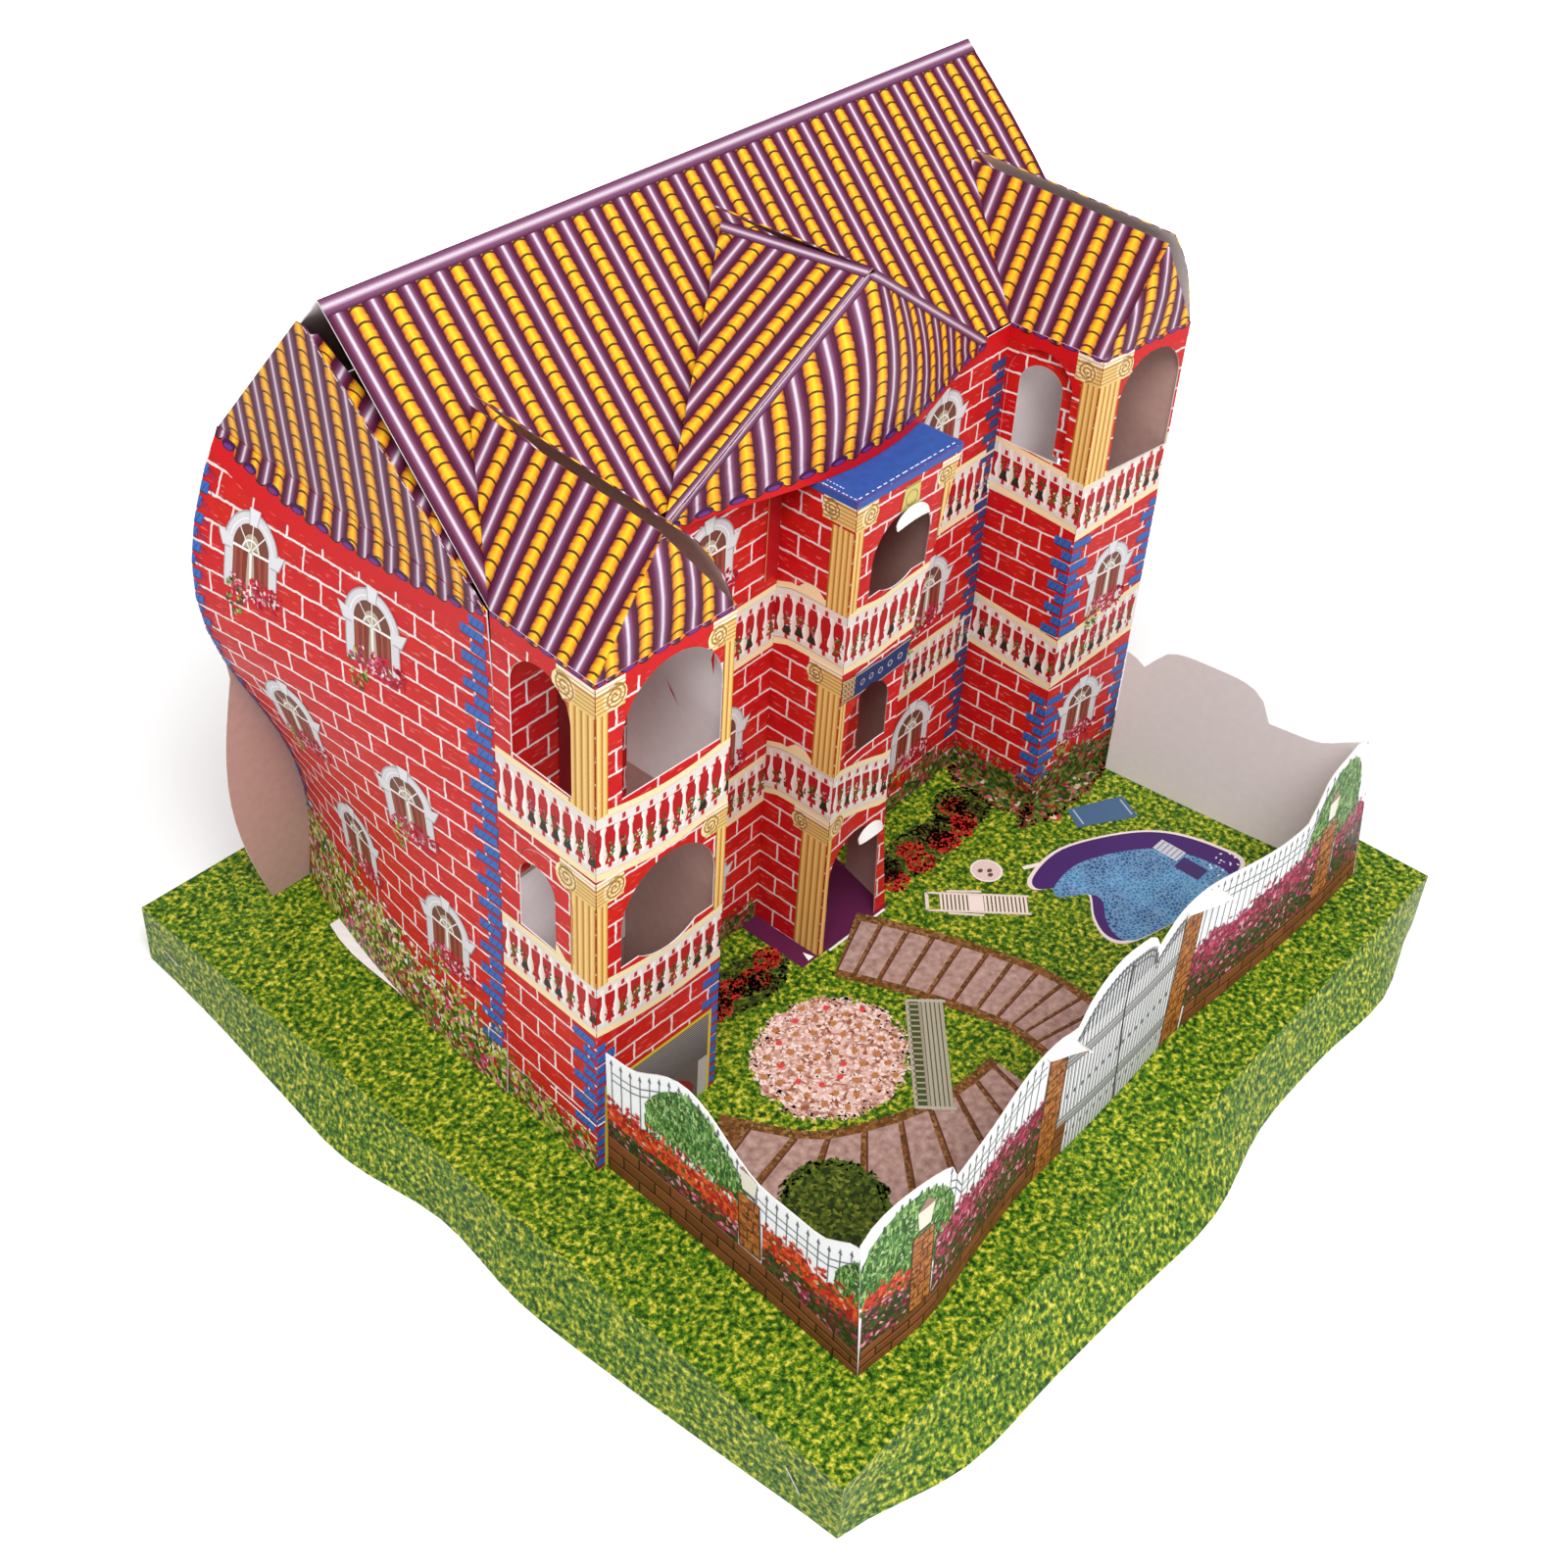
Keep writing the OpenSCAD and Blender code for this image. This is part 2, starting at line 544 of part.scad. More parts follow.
// Along the front: left tree, left post, gate, right post and right tree
function front_fence_h(s, length) =
    fence_h + 0.85 * tree_rise * dome((s - 24) / 26) + 10 * (s < post_left ? bump((s - post_left) / 50) : crown((s - post_left) / 18))
    + gate_rise * dome((s - gate_mid) / 27)
    + 17 * bump((s - post_right) / (s < post_right ? 40 : 100))
    + tree_rise * crown((s - length + 32) / 24) + 10 * bump((s - length) / 16);
post_left = 112;
gate_mid = 156;
post_right = 203;
// The foot of the front strays from a straight line
foot_line = [0, -3, 2, 6, 6, 7, 8.5, 5.5, 3, 1.5, 2];
function fence_left_face(u, v) =
    let (length = y_wing - fence_end_gap - fence_y, h = left_fence_h(u * length, length))
    [mix(fence_x0 + 4.5, fence_x0, pow(u, 1.5)) - 2.5 * v, mix(y_wing - fence_end_gap, fence_y, u) + 3.5 * v * u,
     z_top + mix(stand, h, v)];
function fence_front_face(u, v) =
    let (length = fence_x1 - fence_x0, h = front_fence_h(u * length, length), lean = mix(3.5, 9, u) * pow(2 * u - 1, 2))
    [mix(fence_x0, fence_x1, u) - 2.5 * v * (1 - u), fence_y + through(foot_line, u) + v * lean,
     z_top + mix(stand, h, v)];
function fence_right_face(u, v) =
    let (length = y_wing - fence_end_gap - fence_y, h = right_fence_h((1 - u) * length, length))
    [mix(fence_x1, x_right - 8, sqrt(u)), mix(fence_y + 2 + 9 * v, y_wing - fence_end_gap - 1, u),
     z_top + mix(stand, h, v)];
// Post cap that is folded forward, from one place along the front to another
module cap_flap(from, to) {
    length = fence_x1 - fence_x0;
    flap = function (u, v)
        let (s = mix(to, from, u), top = fence_front_face(s / length, 0.97))
        top + [0, 0.3 - v * mix(11, 3, pow(u, 0.7)) * (0.75 + 0.25 * dome(1 - 2 * u)), 0.08 * v * (from - to) / 2];
    color(paper_grey) bent(flap, 5, 1);
}
module fence_strip() {
    left = function (u, v) fence_left_face(u, v);
    front = function (u, v) fence_front_face(u, v);
    right = function (u, v) fence_right_face(u, v);
    color(fence_white) bent(left, 24, 1);
    color(fence_white) bent(front, 72, 1);
    color(fence_white) bent(right, 24, 1);
    cap_flap(post_left - 2, post_left + 17);
    cap_flap(post_right + 1, post_right + 24);
}

base_tray();
corner_staples();
left_wall_sheet();
right_wall_sheet();
back_wall_sheet();
front_wall_sheet();
left_wing_sheet();
right_wing_sheet();
porch_sheet();
middle_roof_sheet();
main_roof_sheet();
fence_strip();
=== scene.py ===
"""Looks of the folded card house on its printed garden tray.

Print coordinates are millimetres on a face: s runs to the right and h runs up, seen from outside.
"""

import math
import random

import bpy
import numpy as np
from mathutils import Matrix, Vector
from mathutils.geometry import tessellate_polygon


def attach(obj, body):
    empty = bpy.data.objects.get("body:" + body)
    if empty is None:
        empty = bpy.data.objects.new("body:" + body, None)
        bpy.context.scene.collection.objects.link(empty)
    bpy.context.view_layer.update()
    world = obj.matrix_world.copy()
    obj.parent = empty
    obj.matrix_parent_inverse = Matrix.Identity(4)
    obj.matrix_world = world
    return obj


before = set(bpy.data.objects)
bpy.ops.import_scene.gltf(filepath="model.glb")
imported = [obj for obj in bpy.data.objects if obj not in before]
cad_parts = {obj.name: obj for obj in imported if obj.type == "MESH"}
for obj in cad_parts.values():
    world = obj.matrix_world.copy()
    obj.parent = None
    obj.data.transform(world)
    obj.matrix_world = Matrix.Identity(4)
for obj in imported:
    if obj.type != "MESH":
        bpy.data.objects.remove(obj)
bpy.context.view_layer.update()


MM = 0.001

# Heights and places taken from the part, in millimetres
CARD = 0.5
TOP = 31
EAVE = 268
WALL = EAVE - TOP
X_LEFT = -173
X_RIGHT = 177
Y_WALL = 8
Y_BACK = 164
RISE = 83
LEFT_SEAM = (-170, 7.7)
LEFT_CORNER = (-173.5, -45)
LEFT_INNER = (-109.5, -47)
RIGHT_INNER = (121, -38)
RIGHT_CORNER = (176, -44)
PORCH = (-26, -31)
PORCH_RIGHT = (36, -32)
FENCE_Y = -175
FENCE_RIGHT = 187
UP = (0, 0, 1)

# The middle roof's eave ends, its peak and the rear end of its ridge
MIDDLE_LEFT = (-90.25, 3.2, EAVE)
MIDDLE_RIGHT = (101.75, 7, EAVE)
MIDDLE_PEAK = (3.75, -6, 337)
MIDDLE_BACK = (-1.25, 62, 333.5)

# Lengths of the printed faces
LEFT_WALL = 155.7
LEFT_SIDE = 52.8
LEFT_FRONT = 64
RIGHT_SIDE = 45.6
RIGHT_FRONT = 55.4
PORCH_SIDE = 35.6
PORCH_FRONT = 60


def main_wall_y(x):
    """Y of the main wall's face, which stands a little askew."""
    return Y_WALL - 6 + 7 * (x - X_LEFT) / 350


# Levels of the printed storeys, above the tray's top
UPPER_FLOOR = 182
LOWER_FLOOR = 102

# Colours, as linear light. Each list is a mix that loose leaves or petals are drawn from.
RED = (0.55, 0.006, 0.009)
DEEP_RED = (0.42, 0.008, 0.012)
GAP_RED = (0.50, 0.012, 0.018)
WHITE = (0.88, 0.86, 0.85)
CREAM = (0.84, 0.68, 0.40)
PALE_CREAM = (0.86, 0.76, 0.60)
BLUE = (0.035, 0.12, 0.42)
NAVY = (0.02, 0.03, 0.12)
CANOPY_BLUE = (0.03, 0.09, 0.36)
STONE = (0.62, 0.60, 0.62)
INK = (0.02, 0.015, 0.015)
LEAVES = [(0.05, 0.16, 0.02), (0.13, 0.30, 0.04), (0.02, 0.06, 0.015), (0.35, 0.42, 0.05)]
PINKS = [(0.72, 0.12, 0.25), (0.80, 0.35, 0.45), (0.50, 0.02, 0.10), (0.85, 0.60, 0.62)]
MEADOW = [(0.45, 0.45, 0.06), (0.10, 0.20, 0.02), (0.6, 0.05, 0.12), (0.72, 0.68, 0.25), (0.85, 0.82, 0.78)]
MEADOW_PETALS = [(0.75, 0.70, 0.15), (0.7, 0.15, 0.3), (0.85, 0.82, 0.8), (0.45, 0.01, 0.05)]
SHADE_PLANTS = [(0.20, 0.02, 0.02), (0.10, 0.12, 0.02), (0.30, 0.28, 0.06), (0.45, 0.08, 0.12)]
PALE_STONE = (0.72, 0.66, 0.62)
CLAY_JOINT = (0.08, 0.02, 0.01)


# Shader writing
class Shader:
    """A node material, written as nested calls. A value is a number, a colour or another node's socket."""

    def __init__(self, name, roughness=0.45, specular=0.18):
        self.material = bpy.data.materials.new(name)
        self.material.use_nodes = True
        self.tree = self.material.node_tree
        self.surface = self.tree.nodes["Principled BSDF"]
        self.put(self.surface.inputs["Roughness"], roughness)
        self.surface.inputs["Specular IOR Level"].default_value = specular

    def put(self, socket, value):
        if isinstance(value, bpy.types.NodeSocket):
            self.tree.links.new(value, socket)
        elif isinstance(value, tuple) and len(value) == 3 and socket.type == "RGBA":
            socket.default_value = (*value, 1)
        else:
            socket.default_value = value

    def node(self, kind, inputs=(), out=0, **settings):
        made = self.tree.nodes.new("ShaderNode" + kind)
        for key, value in settings.items():
            setattr(made, key, value)
        for key, value in dict(inputs).items():
            self.put(made.inputs[key], value)
        return made.outputs[out]

    def math(self, operation, *values):
        return self.node("Math", dict(enumerate(values)), operation=operation)

    def mix(self, factor, a, b, blend="MIX"):
        made = self.tree.nodes.new("ShaderNodeMix")
        made.data_type = "RGBA"
        made.blend_type = blend
        for key, value in ((0, factor), (6, a), (7, b)):
            self.put(made.inputs[key], value)
        return made.outputs[2]

    def ramp(self, factor, stops, constant=False):
        made = self.tree.nodes.new("ShaderNodeValToRGB")
        made.color_ramp.interpolation = "CONSTANT" if constant else "LINEAR"
        marks = made.color_ramp.elements
        while len(marks) < len(stops):
            marks.new(0.5)
        for mark, (place, colour) in zip(marks, stops):
            mark.position = place
        for mark, (place, colour) in zip(marks, stops):
            mark.color = (*colour, 1)
        self.put(made.inputs[0], factor)
        return made.outputs[0]

    def print_place(self, scale=(1, 1, 1), turn=0):
        """The print coordinates, in millimetres, scaled and turned."""
        uv = self.node("UVMap", uv_map="print")
        return self.node("Mapping", {"Vector": uv, "Rotation": (0, 0, math.radians(turn)), "Scale": scale})

    def noise(self, scale, detail=2.0, place=None, roughness=0.5, out=0):
        inputs = {"Scale": scale, "Detail": detail, "Roughness": roughness,
                  "Vector": place or self.print_place()}
        return self.node("TexNoise", inputs, out=out)

    def step(self, value, low, high):
        """0 below low, 1 above high, smooth between."""
        inputs = {"Value": value, "From Min": low, "From Max": high}
        return self.node("MapRange", inputs, interpolation_type="SMOOTHSTEP")

    def finish(self, colour, bump=0.0, bump_scale=0.4):
        self.put(self.surface.inputs["Base Color"], colour)
        if bump:
            height = self.noise(bump_scale, 3.0)
            inputs = {"Strength": bump, "Distance": 0.0002, "Height": height}
            self.put(self.surface.inputs["Normal"], self.node("Bump", inputs))
        return self.material


def ink_grain(shader, colour, strength=0.10):
    """Fine halftone unevenness over a printed colour."""
    grain = shader.noise(1.7, 2.0)
    tone = shader.ramp(grain, [(0.3, (0.1, 0.1, 0.1)), (0.7, (1, 1, 1))])
    return shader.mix(strength, colour, tone, "OVERLAY")


def brick_material():
    """Red bricks in running bond with white joints, with faint pale scratches."""
    shader = Shader("brick_print", 0.42)
    place = shader.print_place()
    wavy = shader.node("VectorMath", {0: place, 1: shader.noise(0.35, 1.0, out=1)}, operation="ADD")
    inputs = {"Vector": wavy, "Color1": RED, "Color2": (0.57, 0.013, 0.007), "Mortar": (0.80, 0.74, 0.73),
              "Scale": 1.0, "Mortar Size": 0.55, "Mortar Smooth": 0.25,
              "Brick Width": 19.6, "Row Height": 9.8}
    bricks = shader.node("TexBrick", inputs)
    shade = shader.ramp(shader.noise(0.12, 2.0), [(0.35, (0.62, 0.5, 0.5)), (0.65, (1, 1, 1))])
    bricks = shader.mix(0.35, bricks, shade, "MULTIPLY")
    scratch_place = shader.print_place((0.16, 0.9, 1), 28)
    scratch = shader.noise(1.0, 1.0, scratch_place)
    marks = shader.math("MULTIPLY", shader.step(scratch, 0.63, 0.70), 0.35)
    return shader.finish(ink_grain(shader, shader.mix(marks, bricks, (0.85, 0.25, 0.22))), 0.05)


# Roof print: width of a tube and its tile row, the tube's share of it, and the length of one tile
TILE = 14.45
TUBE = 8.4 / TILE
TICK = 5.8


def tile_material():
    """Roof print: purple tubes with a white shine, and yellow tiles with dark curved joints."""
    shader = Shader("tile_print", 0.40)
    split = shader.node("SeparateXYZ", {0: shader.print_place()}).node
    across = shader.math("FRACT", shader.math("DIVIDE", split.outputs[0], TILE))
    dark, deep, mid = (0.05, 0.004, 0.018), (0.105, 0.016, 0.05), (0.21, 0.085, 0.16)
    shine = (0.72, 0.62, 0.70)
    tube = ((0, dark), (0.22, deep), (0.38, mid), (0.5, shine), (0.62, mid), (0.78, deep), (0.99, dark))
    brown, left, crest = (0.26, 0.045, 0.01), (0.76, 0.25, 0.015), (0.90, 0.55, 0.02)
    right = (0.76, 0.24, 0.015)
    tile = ((0.04, brown), (0.22, left), (0.5, crest), (0.8, right), (0.96, brown), (1.0, dark))
    stops = [(share * TUBE, tone) for share, tone in tube]
    stops += [(TUBE + share * (1 - TUBE), tone) for share, tone in tile]
    colour = shader.ramp(across, stops)
    from_middle = shader.math("SUBTRACT", across, TUBE + (1 - TUBE) / 2)
    bow = shader.math("MULTIPLY", shader.math("MULTIPLY", from_middle, from_middle), 4.0)
    along = shader.math("FRACT", shader.math("ADD", shader.math("DIVIDE", split.outputs[1], TICK), bow))
    joint = shader.math("LESS_THAN", shader.math("ABSOLUTE", shader.math("SUBTRACT", along, 0.5)), 0.075)
    on_tile = shader.math("GREATER_THAN", across, TUBE)
    tick = shader.math("MULTIPLY", joint, on_tile)
    glow = shader.math("MULTIPLY", shader.step(along, 0.55, 1.0), on_tile)
    colour = shader.mix(shader.math("MULTIPLY", glow, 0.18), colour, (0.95, 0.62, 0.05))
    colour = shader.mix(shader.math("MULTIPLY", tick, 0.92), colour, INK)
    return shader.finish(ink_grain(shader, colour, 0.12), 0.05)


def grass_material():
    """Lawn print of dark, mid green and yellow blotches a few millimetres wide."""
    shader = Shader("grass_print", 0.42)
    place = shader.print_place()
    wander = shader.node("VectorMath", {0: place, 1: shader.noise(0.5, 2.0, out=1)}, operation="ADD")
    blades = shader.noise(0.44, 4.0, wander, 0.68)
    stops = [(0.35, (0.006, 0.024, 0.002)), (0.43, (0.024, 0.085, 0.005)), (0.49, (0.070, 0.17, 0.009)),
             (0.545, (0.19, 0.26, 0.012)), (0.61, (0.52, 0.45, 0.03)), (0.71, (0.74, 0.67, 0.16))]
    colour = shader.ramp(blades, stops)
    wide = shader.ramp(shader.noise(0.035, 1.0), [(0.35, (0.55, 0.75, 0.5)), (0.65, (1, 1, 0.9))])
    colour = shader.mix(0.35, colour, wide, "MULTIPLY")
    return shader.finish(colour, 0.05)


def plain_material(name, colour, spread=0.9, roughness=0.55, bump=0.08):
    """Unprinted card or plain ink with faint fibre mottling."""
    shader = Shader(name, roughness)
    cloud = shader.noise(0.25, 5.0)
    dim = tuple(c * spread for c in colour)
    return shader.finish(shader.ramp(cloud, [(0.3, dim), (0.7, colour)]), bump, 0.9)


def metal_material():
    """Bright staple wire with drawn streaks."""
    shader = Shader("staple_wire", 0.3)
    shader.put(shader.surface.inputs["Metallic"], 1.0)
    place = shader.node("TexCoord", out=3)
    streak = shader.node("TexNoise", {"Vector": place, "Scale": 900.0, "Detail": 3.0})
    shader.put(shader.surface.inputs["Roughness"], shader.step(streak, -0.6, 2.2))
    return shader.finish(shader.ramp(streak, [(0.3, (0.45, 0.45, 0.47)), (0.7, (0.72, 0.72, 0.74))]))


def ink_material():
    """Printed colour that each shape brings along, with a fine halftone grain."""
    shader = Shader("ink_print", 0.42)
    paint = shader.node("Attribute", attribute_name="ink")
    return shader.finish(ink_grain(shader, paint, 0.14), 0.05)


def speckle_material(name, size, palette):
    """Printed flowers or leaves: small cells, each of one palette colour. The palette is (share, colour)."""
    shader = Shader(name, 0.42)
    place = shader.print_place((1 / size, 1 / size, 1))
    wander = shader.node("VectorMath", {0: place, 1: shader.noise(0.9, 2.0, place, out=1)}, operation="ADD")
    cell = shader.node("TexVoronoi", {"Vector": wander, "Scale": 1.0}, out=1)
    pick = shader.node("SeparateColor", {0: cell})
    total, stops, start = sum(share for share, colour in palette), [], 0
    for share, colour in palette:
        stops.append((start / total, colour))
        start += share
    colour = shader.ramp(pick, stops, constant=True)
    shade = shader.ramp(shader.noise(0.6, 3.0), [(0.35, (0.45, 0.45, 0.45)), (0.6, (1, 1, 1))])
    return shader.finish(shader.mix(0.6, colour, shade, "MULTIPLY"), 0.05)


def water_material():
    """Pool print: blue with a fine bright mosaic of ripples."""
    shader = Shader("pool_water", 0.38)
    inputs = {"Vector": shader.print_place(), "Scale": 0.55}
    ripple = shader.node("TexVoronoi", inputs, feature="DISTANCE_TO_EDGE")
    cloud = shader.ramp(shader.noise(0.06, 2.0), [(0.35, (0.012, 0.065, 0.21)), (0.65, (0.04, 0.18, 0.37))])
    shine = shader.math("MULTIPLY", shader.step(ripple, 0.22, 0.0), 0.35)
    return shader.finish(shader.mix(shine, cloud, (0.45, 0.68, 0.80)), 0.05)


def slab_material():
    """Garden path print: pinkish brown stone with soft mottling."""
    shader = Shader("path_slabs", 0.42)
    cloud = shader.noise(0.3, 5.0)
    stops = [(0.3, (0.25, 0.15, 0.125)), (0.5, (0.36, 0.23, 0.195)), (0.7, (0.46, 0.32, 0.28))]
    return shader.finish(shader.ramp(cloud, stops), 0.06)


MATERIALS = {
    "ink": ink_material(),
    "mixed_flowers": speckle_material("mixed_flowers", 1.9, [
        (5, (0.03, 0.09, 0.01)), (4, (0.10, 0.20, 0.02)), (4, (0.42, 0.42, 0.05)), (3, (0.70, 0.66, 0.18)),
        (2, (0.55, 0.02, 0.06)), (2, (0.70, 0.16, 0.30)), (2, (0.28, 0.01, 0.03)), (1, (0.85, 0.80, 0.78))]),
    "dark_flowers": speckle_material("dark_flowers", 1.8, [
        (6, (0.02, 0.05, 0.01)), (4, (0.07, 0.13, 0.015)), (3, (0.20, 0.21, 0.04)), (2, (0.30, 0.02, 0.02)),
        (2, (0.42, 0.10, 0.13)), (1, (0.55, 0.45, 0.30))]),
    "tree": speckle_material("tree_leaves", 1.2, [
        (5, (0.02, 0.08, 0.012)), (5, (0.06, 0.19, 0.03)), (4, (0.14, 0.32, 0.06)), (2, (0.32, 0.48, 0.16)),
        (1, (0.52, 0.58, 0.38))]),
    "olive_bush": speckle_material("olive_bush", 1.4, [
        (5, (0.018, 0.036, 0.005)), (5, (0.045, 0.08, 0.008)), (4, (0.09, 0.13, 0.012)),
        (2, (0.18, 0.21, 0.025))]),
    "pink_flowers": speckle_material("pink_flowers", 1.7, [
        (4, (0.20, 0.006, 0.035)), (4, (0.42, 0.02, 0.09)), (3, (0.60, 0.09, 0.19)), (1, (0.78, 0.42, 0.48)),
        (4, (0.04, 0.03, 0.012))]),
    "dark_hedge": speckle_material("dark_hedge", 1.6, [
        (6, (0.025, 0.035, 0.01)), (4, (0.06, 0.08, 0.02)), (3, (0.12, 0.02, 0.02)), (2, (0.42, 0.03, 0.12)),
        (1, (0.70, 0.30, 0.38))]),
    "red_flowers": speckle_material("red_flowers", 1.7, [
        (5, (0.60, 0.03, 0.015)), (4, (0.75, 0.10, 0.02)), (3, (0.35, 0.01, 0.01)), (2, (0.06, 0.09, 0.02)),
        (1, (0.80, 0.35, 0.20))]),
    "blossom": speckle_material("blossom_bush", 2.2, [
        (5, (0.42, 0.20, 0.14)), (5, (0.58, 0.34, 0.27)), (4, (0.72, 0.50, 0.43)), (3, (0.30, 0.10, 0.045)),
        (2, (0.82, 0.68, 0.62))]),
    "soil": speckle_material("path_soil", 1.3, [
        (4, (0.16, 0.06, 0.015)), (4, (0.23, 0.10, 0.03)), (3, (0.10, 0.05, 0.012)),
        (2, (0.30, 0.16, 0.06))]),
    "post": speckle_material("post_brick", 1.5, [
        (5, (0.40, 0.12, 0.025)), (4, (0.50, 0.18, 0.04)), (3, (0.28, 0.07, 0.015)), (1, CLAY_JOINT)]),
    "water": water_material(),
    "slab": slab_material(),
    "brick": brick_material(),
    "tile": tile_material(),
    "grass": grass_material(),
    "fence": plain_material("fence_white", (0.86, 0.87, 0.88), 0.95, 0.4, 0.04),
    "blue": plain_material("canopy_blue", CANOPY_BLUE, 0.8, 0.4, 0.05),
    "card": plain_material("bare_card", (0.78, 0.72, 0.71), 0.95),
    # Card darkened and reddened for inner sides in shade: painted shade and painted red bounce light
    "warm_card": plain_material("warm_card", (0.50, 0.31, 0.27), 0.9),
    # Card brightened above the bare card for insides that light reaches: painted light
    "pale_card": plain_material("pale_card", (0.93, 0.84, 0.85), 0.96),
    "edge": plain_material("card_edge", (0.80, 0.77, 0.75), 0.9),
    "wire": metal_material(),
}


# Faces of the sheets, on which the prints are laid
def unit(v):
    v = np.array(v, float)
    return v / np.linalg.norm(v)


class Face:
    """One printed face of a CAD node: where its print starts, and the directions of s and h."""

    def __init__(self, node, origin, across, up, print_name, near=None):
        self.node = node
        self.origin = np.array(origin, float)
        self.across = unit(across)
        self.normal = unit(np.cross(self.across, up))
        self.up = np.cross(self.normal, self.across)
        self.print_name = print_name
        self.near = near

    def place(self, points):
        """Print coordinates of points in millimetres."""
        away = points - self.origin
        return np.stack([away @ self.across, away @ self.up], -1)


def upright(node, a, b, near=0.15):
    """Flat wall from plan point a to plan point b, seen from outside with a on the left."""
    return Face(node, (*a, TOP), (b[0] - a[0], b[1] - a[1], 0), UP, "brick", near)


def slope(node, a, b, peak):
    """Roof slope over the eave from a to b that rises to peak. Its tiles run up from the eave."""
    a, b = np.array((*a, EAVE), float), np.array((*b, EAVE), float)
    across = unit(b - a)
    up = np.array(peak, float) - a
    first_tube, reach = 4, 12
    return Face(node, a - first_tube * across, across, up, "tile", reach)


def middle_slope(eave, rear_first=False):
    """Slope of the middle roof beside its front. Its tiles run up along the edge to the peak."""
    edge, rear = np.subtract(MIDDLE_PEAK, eave), np.subtract(MIDDLE_BACK, eave)
    normal = unit(np.cross(rear, edge) if rear_first else np.cross(edge, rear))
    return Face("middle_roof_sheet", eave, np.cross(unit(edge), normal), edge, "tile")


def wing_faces(prefix, node, walls, plan, peaks, first_near=0.15):
    """Three upright faces along a wing's plan corners, and the three slopes over them."""
    faces, sides = {}, list(zip(plan, plan[1:]))
    for wall, near, (a, b) in zip(walls, (first_near, 0.15, 0.15), sides):
        faces[prefix + wall] = upright(node, a, b, near)
    for roof, peak, (a, b) in zip(("roof_left", "roof_front", "roof_right"), peaks, sides):
        faces[prefix + roof] = slope(node, a, b, peak)
    return faces


def set_faces():
    """All printed faces by name."""
    faces = {"tray": Face("base_tray", (0, 0, TOP), (1, 0, 0), (0, 1, 0), "grass", 0.15)}
    for side, corner, across in (("gate", (-210, -199, 0), (1, 0, 0)), ("left", (-210, 199, 0), (0, -1, 0)),
                                 ("right", (210, -199, 0), (0, 1, 0)), ("back", (210, 199, 0), (-1, 0, 0))):
        faces["skirt_" + side] = Face("base_tray", corner, across, UP, "grass", 30)
    rear_left = (X_LEFT, Y_BACK, TOP)
    faces["left_wall"] = Face("left_wall_sheet", rear_left, (0, -1, 0), UP, "brick")
    faces["left_gable"] = Face("left_wall_sheet", rear_left, (0, -1, 0), UP, "tile")
    faces["gable_tab"] = Face("left_wall_sheet", rear_left, (0.6, -0.8, -0.7), (0.3, 0.8, 0.8), "tile")
    faces["right_wall"] = upright("right_wall_sheet", (X_RIGHT, Y_WALL + 1.3), (X_RIGHT, Y_BACK))
    faces["back_wall"] = upright("back_wall_sheet", (176.2, 164.8), (X_LEFT + 1, 164.8))
    faces["main_wall"] = upright("front_wall_sheet", (-169, main_wall_y(-169)), (176.2, main_wall_y(X_RIGHT)))
    left_end = (LEFT_INNER[0], main_wall_y(LEFT_INNER[0]) - 0.3)
    faces.update(wing_faces("lw_", "left_wing_sheet", ("side", "front", "inner"),
                            (LEFT_SEAM, LEFT_CORNER, LEFT_INNER, left_end),
                            ((-141.5, -43, 309), (-141.5, -43, 309), (-140, 48, 316.5))))
    right_start = (RIGHT_INNER[0] - 1, main_wall_y(RIGHT_INNER[0]) - 0.3)
    faces.update(wing_faces("rw_", "right_wing_sheet", ("side", "front", "outer"),
                            (right_start, RIGHT_INNER, RIGHT_CORNER, (X_RIGHT, Y_WALL - 0.3)),
                            ((149.5, -42, 311), (149.5, -42, 311), (142.5, 52.5, 318.5)), 6))
    faces["porch_left"] = upright("porch_sheet", (PORCH[0], 4.64), PORCH)
    faces["porch_front"] = upright("porch_sheet", PORCH, PORCH_RIGHT, 30)
    faces["porch_right"] = upright("porch_sheet", PORCH_RIGHT, (PORCH_RIGHT[0], 6), 30)
    faces["canopy"] = Face("porch_sheet", (*PORCH, 263), (1, 0, 0), (0, 1, 0), "blue", 0.15)
    faces["middle_front"] = Face("middle_roof_sheet", (5, -12, EAVE), (1, 0, 0), (0, 0.2, 1), "tile")
    faces["middle_left"] = middle_slope(MIDDLE_LEFT)
    faces["middle_right"] = middle_slope(MIDDLE_RIGHT, rear_first=True)
    for side, corner, way in (("front", (-169.5, Y_WALL + 0.3, EAVE), 1), ("back", (179, Y_BACK, EAVE), -1)):
        faces["main_" + side] = Face("main_roof_sheet", corner, (way, 0, 0), (0, way * 77.7, RISE), "tile")
    for side, corner, across in (("left", (X_LEFT, -47.5, TOP), (0, -1, 0)),
                                 ("front", (LEFT_CORNER[0], FENCE_Y, TOP), (1, 0, 0)),
                                 ("right", (FENCE_RIGHT, FENCE_Y + 2, TOP), (0, 1, 0))):
        faces["fence_" + side] = Face("fence_strip", corner, across, UP, "fence", 40)
    return faces


FACES = set_faces()


def mesh_arrays(mesh):
    """Corner places in millimetres, triangle corners and triangle normals of a triangle mesh."""
    points = np.zeros(len(mesh.vertices) * 3)
    mesh.vertices.foreach_get("co", points)
    points = points.reshape(-1, 3) / MM
    corner = np.zeros(len(mesh.loops), int)
    mesh.loops.foreach_get("vertex_index", corner)
    corner = corner.reshape(-1, 3)
    a, b, c = (points[corner[:, i]] for i in range(3))
    area = np.cross(b - a, c - a)
    return points, corner, area


